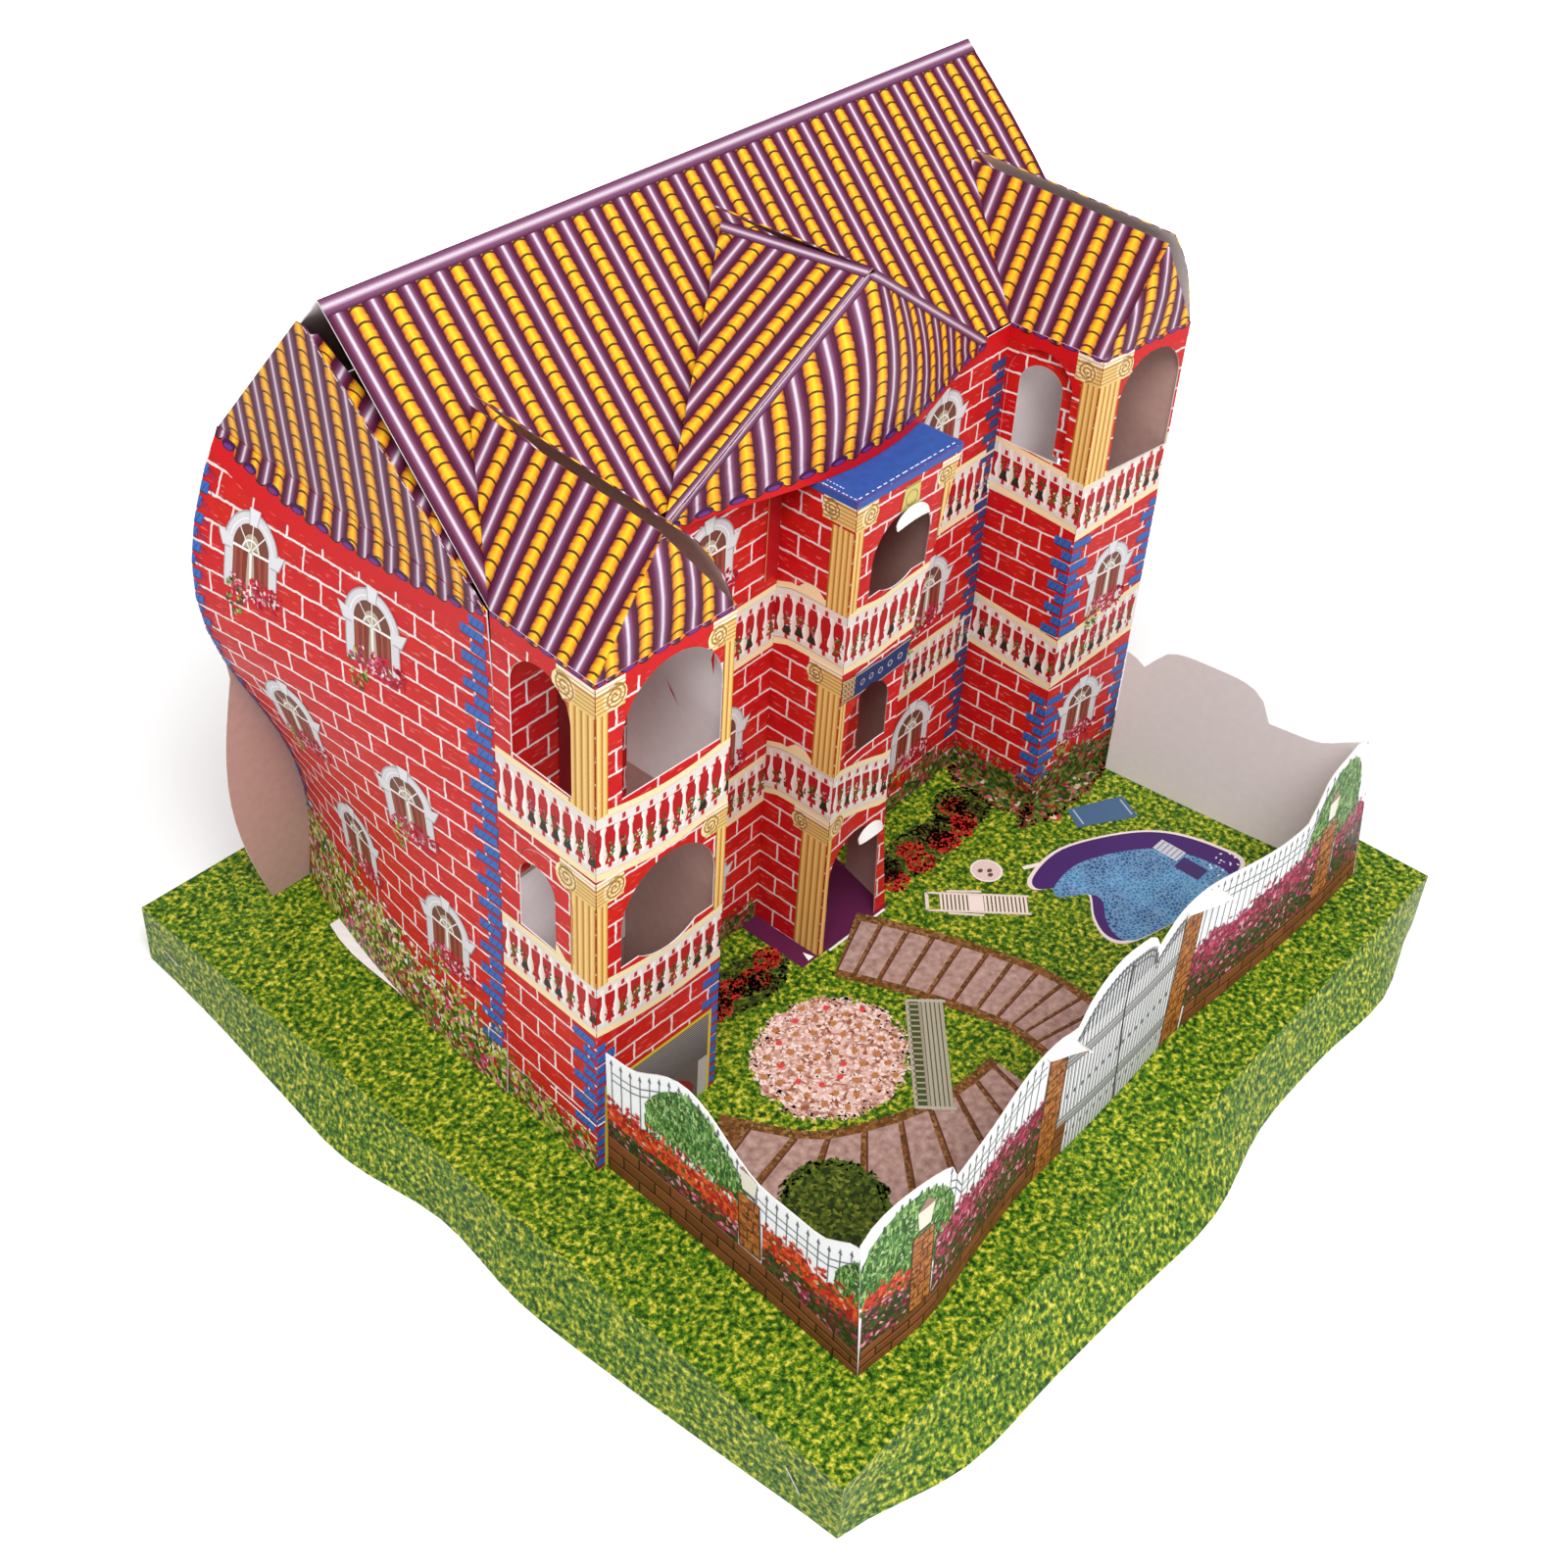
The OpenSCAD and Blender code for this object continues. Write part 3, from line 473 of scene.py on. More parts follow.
def smooth_normals(places, area):
    """Corner normals of a patch: the mean of the triangles that meet at each corner's place."""
    total = {}
    keys = [[tuple(np.round(p, 2)) for p in tri] for tri in places]
    for tri, weight in zip(keys, area):
        for key in tri:
            total[key] = total.get(key, 0) + weight
    return np.array([[unit(total[key]) for key in tri] for tri in keys])


def choose_faces(name, faces, centre, normal):
    """For each triangle the index of its face, or -1, and how squarely it looks along that face's normal."""
    best = np.zeros(len(normal))
    chosen = np.full(len(normal), -1)
    for index, face in enumerate(faces):
        toward = normal @ face.normal
        height = (centre - face.origin) @ face.normal
        if face.near is not None:
            ok = np.where(toward > 0, np.abs(height) < face.near, np.abs(height + CARD) < face.near)
            toward = np.where(ok, toward, 0)
        if name in ("left_wall_sheet", "left_wing_sheet", "right_wing_sheet"):
            above = centre[:, 2] > EAVE - 0.6
            toward = np.where(above == (face.print_name == "tile"), toward, 0)
        better = np.abs(toward) > np.maximum(np.abs(best), 0.62)
        best = np.where(better, toward, best)
        chosen = np.where(better, index, chosen)
    return chosen, best


def dress_node(name, thing):
    """Gives every triangle of a CAD node its print, bare or cut-edge material and its print coordinates.
    Returns the printed triangles of each face as (print coordinates, places, normals)."""
    mesh = thing.data
    points, corner, area = mesh_arrays(mesh)
    places = points[corner]
    normal = area / np.maximum(np.linalg.norm(area, axis=1), 1e-12)[:, None]
    faces = {key: face for key, face in FACES.items() if face.node == name}
    chosen, best = choose_faces(name, faces.values(), places.mean(1), normal)
    mesh.materials.clear()
    # Inner sides: most sheets get the shaded card, painted shade; the main roof's underside gets the lit
    # card, painted light
    bare = "card" if name in ("fence_strip", "left_wing_sheet", "base_tray") else "warm_card"
    under_tiles = {"right_wing_sheet": "card", "main_roof_sheet": "pale_card"}.get(name, "warm_card")
    names = sorted({face.print_name for face in faces.values()} | {bare, under_tiles}) + ["edge"]
    for each in names:
        mesh.materials.append(MATERIALS[each])
    layer = mesh.uv_layers.new(name="print")
    uv = np.zeros((len(area), 3, 2))
    slot = np.full(len(area), len(names) - 1)
    corner_normals = np.repeat(normal[:, None], 3, 1)
    patches = {}
    for index, (key, face) in enumerate(faces.items()):
        for side in (1, -1):
            mine = (chosen == index) & (best * side > 0)
            if not mine.any():
                continue
            uv[mine] = face.place(places[mine])
            inside = under_tiles if face.print_name == "tile" else bare
            slot[mine] = names.index(face.print_name if side > 0 else inside)
            corner_normals[mine] = smooth_normals(places[mine], area[mine])
            patches[key if side > 0 else key + "_inside"] = (uv[mine], places[mine], corner_normals[mine])
    loose = chosen < 0
    uv[loose] = places[loose][:, :, 1:] + places[loose][:, :, :1]
    layer.data.foreach_set("uv", uv.astype(np.float32).ravel())
    mesh.polygons.foreach_set("material_index", slot.astype(np.int32))
    mesh.polygons.foreach_set("use_smooth", np.ones(len(area), bool))
    mesh.normals_split_custom_set(corner_normals.reshape(-1, 3).tolist())
    mesh.update()
    return patches


PATCHES = {}
for node_name, node_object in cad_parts.items():
    if node_name == "corner_staples":
        node_object.data.materials.clear()
        node_object.data.materials.append(MATERIALS["wire"])
    else:
        PATCHES.update(dress_node(node_name, node_object))


# Printing: flat shapes in print coordinates, cut along the face's own triangles so that they lie on it
def side_of(a, b, p):
    return (b[0] - a[0]) * (p[1] - a[1]) - (b[1] - a[1]) * (p[0] - a[0])


def clip(shape, triangle):
    """The part of a convex counter-clockwise shape that lies in a counter-clockwise triangle."""
    for i in range(3):
        a, b = triangle[i], triangle[(i + 1) % 3]
        kept = []
        for j, p in enumerate(shape):
            q = shape[j - 1]
            at_p, at_q = side_of(a, b, p), side_of(a, b, q)
            if (at_p >= 0) != (at_q >= 0):
                t = at_q / (at_q - at_p)
                kept.append((q[0] + t * (p[0] - q[0]), q[1] + t * (p[1] - q[1])))
            if at_p >= 0:
                kept.append(p)
        shape = kept
        if len(shape) < 3:
            return []
    return shape


def signed_area(points):
    return sum(p[0] * q[1] - q[0] * p[1] for p, q in zip(points[-1:] + points[:-1], points)) / 2


def convex_parts(points):
    """The shape itself if it is convex, or else its triangles, all counter-clockwise."""
    if signed_area(points) < 0:
        points = points[::-1]
    n = len(points)
    if all(side_of(points[i - 2], points[i - 1], points[i]) >= -1e-6 for i in range(n)):
        return [points]
    triples = tessellate_polygon([[Vector((*p, 0)) for p in points]])
    parts = [[points[i] for i in triple] for triple in triples]
    return [part if signed_area(part) > 0 else part[::-1] for part in parts]


# Height of the lowest layer of print over its face, and of each further layer, in millimetres
LIFT = 0.06
LAYER = 0.03


def linked(name, data):
    """New object in the scene."""
    thing = bpy.data.objects.new(name, data)
    bpy.context.scene.collection.objects.link(thing)
    return thing


def cut_on(part, uv, low, high):
    """Cuts a convex shape along the triangles. Gives each triangle's index, its corners, their order, and the
    piece of the shape that lies on it."""
    box = np.array(part)
    for index in np.nonzero(((low < box.max(0)) & (high > box.min(0))).all(1))[0]:
        tri, order = [tuple(p) for p in uv[index]], [0, 1, 2]
        if signed_area(tri) < 0:
            tri, order = tri[::-1], [2, 1, 0]
        if signed_area(tri) < 1e-6:
            continue
        piece = clip(part, tri)
        if len(piece) >= 3 and abs(signed_area(piece)) >= 1e-4:
            yield index, tri, order, piece


class Print:
    """The shapes printed on one face. A colour is a tuple, or a function of s and h."""

    def __init__(self, key):
        self.key = key
        self.shapes = []

    def add(self, points, colour=WHITE, layer=1, kind="ink"):
        self.shapes.append(([(float(s), float(h)) for s, h in points], colour, layer, kind))

    def build(self):
        """Lays all shapes on the face as one piece, each layer a little above the one before."""
        uv, places, normals = PATCHES[self.key]
        low, high = uv.min(1), uv.max(1)
        spots, normal_list, flat, inks, faces, slots = [], [], [], [], [], []
        kinds = sorted({shape[3] for shape in self.shapes})
        cuts = ((shape, found) for shape in self.shapes for part in convex_parts(shape[0])
                for found in cut_on(part, uv, low, high))
        for (points, colour, layer, kind), (index, tri, order, piece) in cuts:
            start = len(spots)
            for p in piece:
                w = [side_of(tri[1], tri[2], p), side_of(tri[2], tri[0], p), side_of(tri[0], tri[1], p)]
                w = np.array(w) / (2 * signed_area(tri))
                normal = w @ normals[index][order]
                normal = normal / max(np.linalg.norm(normal), 1e-9)
                spots.append(w @ places[index][order] + normal * (LIFT + LAYER * layer))
                normal_list.append(normal)
                flat.append(p)
                inks.append((*(colour(*p) if callable(colour) else colour), 1))
            loop = list(range(start, len(spots)))
            faces.append(loop[::-1] if order[0] else loop)
            slots.append(kinds.index(kind))
        mesh = bpy.data.meshes.new(self.key + "_print")
        mesh.from_pydata((np.array(spots) * MM).tolist(), [], faces)
        order = np.zeros(len(mesh.loops), int)
        mesh.loops.foreach_get("vertex_index", order)
        print_uv = np.array(flat)[order].astype(np.float32)
        mesh.uv_layers.new(name="print").data.foreach_set("uv", print_uv.ravel())
        ink = mesh.color_attributes.new("ink", "FLOAT_COLOR", "CORNER")
        ink.data.foreach_set("color", np.array(inks)[order].astype(np.float32).ravel())
        for kind in kinds:
            mesh.materials.append(MATERIALS[kind])
        mesh.polygons.foreach_set("material_index", np.array(slots, np.int32))
        mesh.polygons.foreach_set("use_smooth", np.ones(len(faces), bool))
        mesh.normals_split_custom_set(np.array(normal_list)[order].tolist())
        thing = linked(self.key + "_print", mesh)
        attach(thing, "root")


def block(s0, h0, s1, h1):
    return [(s0, h0), (s1, h0), (s1, h1), (s0, h1)]


def oval(s, h, across, up=None, start=0, end=360, steps=16):
    """Points on an oval, from one angle to another."""
    up = across if up is None else up
    angles = [math.radians(start + (end - start) * i / steps) for i in range(steps + (end - start < 360))]
    return [(s + across * math.cos(a), h + up * math.sin(a)) for a in angles]


def arch_shape(middle, sill, width, top):
    """Round-headed outline standing on its sill."""
    half = width / 2
    return [(middle - half, sill), (middle + half, sill)] + oval(middle, top - half, half, None, 0, 180)


def line(paper, points, width, colour, layer=2):
    """Printed line through the points."""
    for (s0, h0), (s1, h1) in zip(points, points[1:]):
        length = max(math.hypot(s1 - s0, h1 - h0), 1e-6)
        ds, dh = -(h1 - h0) / length * width / 2, (s1 - s0) / length * width / 2
        quad = [(s0 - ds, h0 - dh), (s1 - ds, h1 - dh), (s1 + ds, h1 + dh), (s0 + ds, h0 + dh)]
        paper.add(quad, colour, layer)


def ring(paper, s, h, inner, outer, colour, layer=2, start=0, end=360, steps=20):
    """Part of a flat ring."""
    a, b = (oval(s, h, r, r, start, end, steps) for r in (inner, outer))
    count = len(a)
    for i in range(steps):
        j = (i + 1) % count
        paper.add([a[i], b[i], b[j], a[j]], colour, layer)


def mixed(a, b, t):
    return tuple(p + (q - p) * t for p, q in zip(a, b))


def shaded_band(paper, a, b, width, stops, layer=2):
    """Band from a to b, of that width to its left, shaded across by (share, colour) stops."""
    length = math.hypot(b[0] - a[0], b[1] - a[1])
    ds, dh = -(b[1] - a[1]) / length, (b[0] - a[0]) / length

    def colour_between(t0, c0, t1, c1):
        def colour(s, h):
            t = ((s - a[0]) * ds + (h - a[1]) * dh) / width
            return mixed(c0, c1, min(1, max(0, (t - t0) / (t1 - t0))))
        return colour

    for (t0, c0), (t1, c1) in zip(stops, stops[1:]):
        ends = ((a, t0), (b, t0), (b, t1), (a, t1))
        quad = [(p[0] + ds * width * t, p[1] + dh * width * t) for p, t in ends]
        paper.add(quad, colour_between(t0, c0, t1, c1), layer)


TUBE_DARK, TUBE_MID, TUBE_SHINE = (0.06, 0.008, 0.035), (0.20, 0.075, 0.15), (0.62, 0.52, 0.60)
TUBE_STOPS = [(0, TUBE_DARK), (0.3, TUBE_MID), (0.5, TUBE_SHINE), (0.7, TUBE_MID), (1, TUBE_DARK)]
FALLING_HALF = [(0, TUBE_SHINE), (0.4, TUBE_MID), (1, TUBE_DARK)]


def ribbon(paper, s0, s1, steps, low, high, colour, layer):
    """Band between the levels low(s) and high(s), in straight steps."""
    for i in range(steps):
        a, b = s0 + (s1 - s0) * i / steps, s0 + (s1 - s0) * (i + 1) / steps
        paper.add([(a, low(a)), (b, low(b)), (b, high(b)), (a, high(a))], colour, layer)


def part_of(a, b, t0, t1):
    """The stretch of the line from a to b between two shares of it."""
    return [(a[0] + (b[0] - a[0]) * t, a[1] + (b[1] - a[1]) * t) for t in (t0, t1)]


def curve_point(p, t):
    """Place at share t of the smooth curve from p[1] to p[2], whose neighbours are p[0] and p[3]."""
    return tuple(0.5 * (2 * p[1][j] + (p[2][j] - p[0][j]) * t
                        + (2 * p[0][j] - 5 * p[1][j] + 4 * p[2][j] - p[3][j]) * t * t
                        + (3 * p[1][j] - p[0][j] - 3 * p[2][j] + p[3][j]) * t ** 3) for j in (0, 1))


def along(a, b, way):
    """Places by their share t of the line from a to b and their offset o to its right, or left for way -1."""
    length = math.hypot(b[0] - a[0], b[1] - a[1])
    ds, dh = (b[0] - a[0]) / length, (b[1] - a[1]) / length
    return lambda t, o: (a[0] + ds * length * t + way * dh * o, a[1] + dh * length * t - way * ds * o)


def leaf(paper, rng, s, h, size, colour, layer):
    """One loose leaf or petal, turned at random."""
    turn = rng.uniform(0, math.pi)
    c, d = math.cos(turn), math.sin(turn)
    long, wide = size * rng.uniform(0.7, 1.3), size * rng.uniform(0.35, 0.7)
    paper.add([(s + long * c, h + long * d), (s - wide * d, h + wide * c), (s - long * c, h - long * d),
               (s + wide * d, h - wide * c)], colour, layer)


def sprinkle(paper, rng, centre, radii, count, colours, size=1.2, layer=3):
    """Small leaves or petals scattered in an oval."""
    for _ in range(count):
        angle, far = rng.uniform(0, 2 * math.pi), math.sqrt(rng.random())
        s = centre[0] + radii[0] * far * math.cos(angle)
        h = centre[1] + radii[1] * far * math.sin(angle)
        leaf(paper, rng, s, h, size, rng.choice(colours), layer)


def hedge(paper, rng, s0, s1, top, kind, colours, base=0.0, ragged=3.0, layer=3, size=1.3):
    """Band of printed plants whose ragged top follows top(s)."""
    steps = max(2, int((s1 - s0) / 3))
    tops = [(s, top(s) + rng.uniform(-ragged, ragged) / 2) for s in
            [s0 + (s1 - s0) * i / steps for i in range(steps + 1)]]
    paper.add([(s0, base), (s1, base)] + tops[::-1], WHITE, layer, kind)
    for _ in range(int((s1 - s0) * 1.6)):
        s = rng.uniform(s0, s1)
        leaf(paper, rng, s, top(s) + rng.uniform(-ragged, ragged), size, rng.choice(colours), layer + 1)


# Printed parts of the house
FLUTES = [(0.0, (0.34, 0.12, 0.015)), (0.05, (0.68, 0.38, 0.08)), (0.17, (0.86, 0.60, 0.24)),
          (0.23, (0.50, 0.22, 0.03))]
GILT_LINE = (0.46, 0.22, 0.04)


def column(paper, s0, s1, h0, h1, flutes=4):
    """Fluted golden column."""
    stops = []
    for i in range(flutes):
        for share, colour in FLUTES:
            stops.append(((i + share * 4) / flutes * 0.97 + 0.015, colour))
    stops.append((1, (0.42, 0.18, 0.03)))
    shaded_band(paper, (s1, h0), (s1, h1), s1 - s0, stops, 4)
    line(paper, [(s0, h0), (s0, h1)], 0.5, (0.38, 0.15, 0.02), 5)


def scroll(paper, s, h, radius, way=1):
    """Spiral of an Ionic capital. way is 1 where it curls away to the right."""
    paper.add(oval(s, h, radius, radius * 0.97), (0.84, 0.70, 0.38), 6)
    points = []
    for i in range(24):
        reach, angle = radius * (1 - i / 26) * 0.92, math.radians(way * (90 - i * 36))
        points.append((s + reach * math.cos(angle), h + reach * math.sin(angle)))
    line(paper, points, 0.8, (0.42, 0.19, 0.03), 7)


def capital(paper, s0, s1, top, scroll_s, radius=6.0):
    """Capital between s0 and s1 with its scroll: abacus on top, scroll under it, and a ribbed neck."""
    left_to_right = 1 if scroll_s > (s0 + s1) / 2 else -1
    paper.add(block(s0, top - 12, s1, top - 2), (0.72, 0.50, 0.18), 5)
    for i in range(5):
        line(paper, [(s0, top - 10.5 + 1.7 * i), (s1, top - 10.5 + 1.7 * i)], 0.5, GILT_LINE, 6)
    paper.add(block(s0, top - 3.2, s1, top), PALE_CREAM, 6)
    line(paper, [(s0, top - 1.6), (s1, top - 1.6)], 0.5, (0.62, 0.36, 0.10), 7)
    line(paper, [(s0, top - 3.2), (s1, top - 3.2)], 0.5, GILT_LINE, 7)
    scroll(paper, scroll_s, top - 7, radius, left_to_right)


BALUSTER_SIDE = [(1.0, 5.5), (0.9, 7.5), (1.9, 10.0), (1.7, 12.5), (0.8, 16), (0.7, 20.0), (1.5, 22.0),
                 (1.2, 23.5)]
BALUSTER = [(-1.0, 5.5)] + BALUSTER_SIDE + [(-out, up) for out, up in BALUSTER_SIDE[:0:-1]]
BALCONY_PLANTS = LEAVES[:1] * 3 + LEAVES[1:3] + [(0.85, 0.80, 0.7)]
POT_PLANTS = PINKS[:2] + LEAVES[:1] * 3 + LEAVES[2:3] * 2


def baluster(paper, s, base):
    """White turned baluster, shaded to brown on its right."""
    def shade(across, _):
        return mixed(WHITE, (0.70, 0.52, 0.40), min(1, max(0, (across - s) / 2.4 + 0.3)))
    paper.add([(s + ds, base + dh) for ds, dh in BALUSTER], shade, 5)


def balcony_plant(paper, rng, s, base):
    """What shows between two balusters: a potted plant, a trailing plant or a few red petals."""
    plant = rng.random()
    if plant < 0.45:
        pot = [(-1.8, 6.4), (1.8, 6.4), (1.4, 11), (-1.4, 11)]
        paper.add([(s + ds, base + dh) for ds, dh in pot], (0.02, 0.02, 0.012), 4)
        sprinkle(paper, rng, (s, base + 13.5), (2.4, 3.4), 16, POT_PLANTS, 0.8, 6)
    elif plant < 0.92:
        sprinkle(paper, rng, (s + 0.4, base + 11.5), (2.4, 4.6), 24, BALCONY_PLANTS, 0.8, 6)
    else:
        sprinkle(paper, rng, (s, base + 10), (2.2, 4), 7, [(0.35, 0.01, 0.01), (0.7, 0.04, 0.02)], 1.0, 6)


def balustrade(paper, rng, s0, s1, top_at, height=30, pitch=6.4, first=3.2):
    """Cream rails with white balusters, red gaps, plants and pots. top_at(s) is the upper rail's top."""
    steps = max(1, int((s1 - s0) / 6))
    for low, high, colour, layer in ((0, height, DEEP_RED, 2), (0, 3.4, CREAM, 3), (3.2, 6.6, PALE_STONE, 3),
                                     (height - 3.0, height, CREAM, 3),
                                     (height - 7.5, height - 2.8, PALE_STONE, 3)):
        ribbon(paper, s0, s1, steps, lambda s: top_at(s) - height + low, lambda s: top_at(s) - height + high,
               colour, layer)
    for i in range(int((s1 - s0 - first) / pitch) + 1):
        s = s0 + first + i * pitch
        base, middle = top_at(s) - height, s + pitch / 2
        baluster(paper, s, base)
        for low in (4.2, height - 7.0):
            paper.add(block(middle - 0.8, base + low, middle + 0.8, base + low + 2.4), GAP_RED, 5)
        balcony_plant(paper, rng, middle, base)


def quoins(paper, edge, way, low, high, long=12.5, short=7, colour=BLUE, gap=0.0):
    """Blue corner blocks, long and short by turns. way is 1 where the wall lies right of the edge."""
    dark, darkest = (tuple(c * share for c in colour) for share in (0.45, 0.3))
    h, index = low, 0
    while h < high - 3:
        reach = long if index % 2 == 0 else short
        inset = gap if index % 2 == 0 else 0
        a, b = sorted((edge + way * inset, edge + way * reach))
        paper.add(block(a, h, b, h + 4.1), colour, 4)
        for k in range(3):
            line(paper, [(a + 1 + 3 * k, h + 0.6), (min(b, a + 2.6 + 3 * k), h + 3.4)], 0.35, dark, 5)
        line(paper, [(a, h), (b, h)], 0.5, darkest, 5)
        h += 5.8
        index += 1


def window(paper, rng, s, top, width=19.0, height=34.0):
    """Round-headed window in a pale stone frame with curtains, glazing bars and flowers on its sill."""
    radius = width / 2
    sill, centre = top - height, top - 4.5 - radius
    window_frame(paper, s, sill, centre, radius, top)
    window_glass(paper, s, sill, centre, radius)
    reds = [(0.55, 0.01, 0.03), (0.42, 0.01, 0.03)]
    greens, pinks = LEAVES[1:] + [(0.45, 0.42, 0.15)], PINKS + [(0.62, 0.04, 0.12)]
    sprinkle(paper, rng, (s + radius * 0.7, sill + 2.5), (radius * 1.1, 6), 60, reds, 1.6, 7)
    sprinkle(paper, rng, (s - radius * 0.9, sill - 3), (radius * 0.5, 9), 26, greens, 1.4, 8)
    sprinkle(paper, rng, (s - radius * 0.2, sill + 2.5), (radius * 1.15, 6), 46, pinks, 1.2, 9)


def window_frame(paper, s, sill, centre, radius, top):
    """Stone frame: ring, jambs, an ear on each side and the keystone."""
    dark_stone, pale_stone = (0.36, 0.35, 0.38), (0.80, 0.78, 0.80)
    for inner, outer, tone, layer in ((0, 4.6, STONE, 4), (4.2, 4.9, dark_stone, 5),
                                      (1.6, 2.1, pale_stone, 5)):
        ring(paper, s, centre, radius + inner, radius + outer, tone, layer, -4, 184)
    for way in (-1, 1):
        near, far = sorted((s + way * radius, s + way * (radius + 4.2)))
        paper.add(block(near, sill, far, centre), STONE, 4)
        side = s + way * (radius + 4.2)
        line(paper, [(side, sill), (side, centre - 3)], 0.5, dark_stone, 5)
        ear = [(radius, centre - 3.4), (radius + 5.4, centre - 3.4), (radius + 8.6, centre + 3.2),
               (radius + 4.6, centre + 2.2), (radius, centre + 1)]
        paper.add([(s + way * a, b) for a, b in ear], (0.66, 0.65, 0.67), 6)
        rim = [(radius + 1, centre - 3.2), (radius + 5.4, centre - 3.4), (radius + 8.4, centre + 2.9)]
        line(paper, [(s + way * a, b) for a, b in rim], 0.5, dark_stone, 7)
    keystone = [(s - 2, top - 5), (s + 2, top - 5), (s + 3, top + 1.4), (s - 3, top + 1.4)]
    paper.add(keystone, (0.70, 0.69, 0.71), 6)
    for way in (-1, 1):
        line(paper, [(s + way * 2, top - 5), (s + way * 3, top + 1.2)], 0.4, dark_stone, 7)


def window_glass(paper, s, sill, centre, radius):
    """Dark glass with a lit middle, folded red curtains and pale glazing bars."""
    paper.add(arch_shape(s, sill, radius * 2, centre + radius), (0.16, 0.05, 0.03), 3)
    paper.add(arch_shape(s, sill + 1, radius * 0.84, centre + radius * 0.6), (0.42, 0.34, 0.24), 4)
    for way in (-1, 1):
        for k in range(4):
            a = s + way * (radius * (0.95 - 0.17 * k))
            foot, head = a - way * radius * 0.17, a - way * radius * (0.17 + 0.04 * k)
            tone = (0.20, 0.03, 0.02) if k % 2 else (0.30, 0.06, 0.03)
            paper.add([(a, sill), (foot, sill), (head, centre), (a, centre)], tone, 5)
    bar, cross = (0.80, 0.78, 0.76), centre - 1
    line(paper, [(s - radius, cross), (s + radius, cross)], 1.1, bar, 6)
    line(paper, [(s, sill), (s, cross)], 1.2, bar, 6)
    for angle in (math.radians(45), math.radians(90), math.radians(135)):
        end = (s + radius * math.cos(angle), centre + radius * math.sin(angle))
        line(paper, [(s, cross), end], 0.5, bar, 6)
    ring(paper, s, cross, radius * 0.42, radius * 0.5, bar, 6, 0, 180, 10)


def tile_ends(paper, s0, s1, fold_at, phase=0.0, above=12.0, red_band=7.0):
    """Lower ends of the tiles where they hang over the wall's plain red band. fold_at(s) is their level."""
    index = math.floor((s0 - phase) / TILE)
    steps = max(1, int((s1 - s0) / 8))
    ribbon(paper, s0, s1, steps, lambda s: fold_at(s) - red_band, lambda s: fold_at(s) + above, RED, 3)
    while phase + index * TILE < s1:
        left = phase + index * TILE
        tube_end, tile_end = left + TUBE * TILE, left + TILE
        for a, b, kind in ((left, tube_end, "tube"), (tube_end, tile_end, "tile")):
            a, b = max(a, s0), min(b, s1)
            if b - a < 0.5:
                continue
            middle, half, low = (a + b) / 2, (b - a) / 2, fold_at((a + b) / 2)
            rim = oval(middle, low, half, 1.7, 180, 360, 10)
            if kind == "tile":
                paper.add([(p, q - 0.6) for p, q in rim] + [(b, low), (a, low)], INK, 4)
            paper.add(rim + [(b, low + above), (a, low + above)], WHITE, 5, "tile")
            if kind == "tube":
                paper.add(oval(middle, low, half * 0.98, 1.8), (0.045, 0.008, 0.06), 6)
                paper.add(oval(middle, low - 0.55, half * 0.62, 0.9), (0.14, 0.03, 0.20), 7)
        index += 1


def between(*marks):
    """A level that runs straight between (s, h) marks."""
    def level(s):
        for (s0, h0), (s1, h1) in zip(marks, marks[1:]):
            if s <= s1 or (s1, h1) == marks[-1]:
                t = min(1, max(0, (s - s0) / (s1 - s0)))
                return h0 + (h1 - h0) * t
        return marks[0][1]
    return level


def sagging(left, right, length, sag):
    """A level from left to right that hangs by sag in the middle."""
    return lambda s: left + (right - left) * s / length - sag * math.sin(math.pi * min(1, max(0, s / length)))


def foot_plants(paper, rng, ends, top, petals):
    """Flowers along the foot of an outer wall. top(s) is their ragged edge."""
    hedge(paper, rng, *ends, top, "mixed_flowers", MEADOW, ragged=9, size=1.7)
    middle = sum(ends) / 2
    sprinkle(paper, rng, (middle, 14), (middle, 14), petals, MEADOW_PETALS, 1.0, 5)


def print_left_wall():
    """Six windows, corner blocks, hanging tile ends and the flowers at the foot."""
    paper, rng = Print("left_wall"), random.Random(1)

    def eave_level(s):
        return WALL - 10.5 * math.sin(math.pi * min(1, s / LEFT_WALL)) ** 0.7
    tile_ends(paper, 0, LEFT_WALL - 1, eave_level, phase=5.0, above=13, red_band=8)
    for s, top in ((31, 217), (95, 214), (39, 144), (104, 137), (57, 84), (120, 79)):
        window(paper, rng, s, top)
    quoins(paper, LEFT_WALL - 1.5, -1, 24, 231, 13, 8, gap=1)
    quoins(paper, 0, 1, 40, 228, 4.5, 2)
    foot_plants(paper, rng, (0, LEFT_WALL), lambda s: 37 - 9 * s / LEFT_WALL + 3 * math.sin(s / 9), 260)
    paper.build()


def print_hidden_walls():
    """Right and back walls, which the photograph doesn't show: the same windows, corner blocks and plants."""
    for key, length, columns in (("right_wall", 154, (46, 112)), ("back_wall", 348, (58, 136, 213, 290))):
        paper, rng = Print(key), random.Random(len(key))
        for s in columns:
            for top in (216, 140, 82):
                window(paper, rng, s, top)
        quoins(paper, 1, 1, 24, 231, 13, 8)
        quoins(paper, length - 1, -1, 24, 231, 13, 8)
        paper.add(block(0, WALL - 8, length, WALL), RED, 3)
        foot_plants(paper, rng, (1, length - 1), lambda s: 33 + 3 * math.sin(s / 9), int(length * 1.6))
        paper.build()


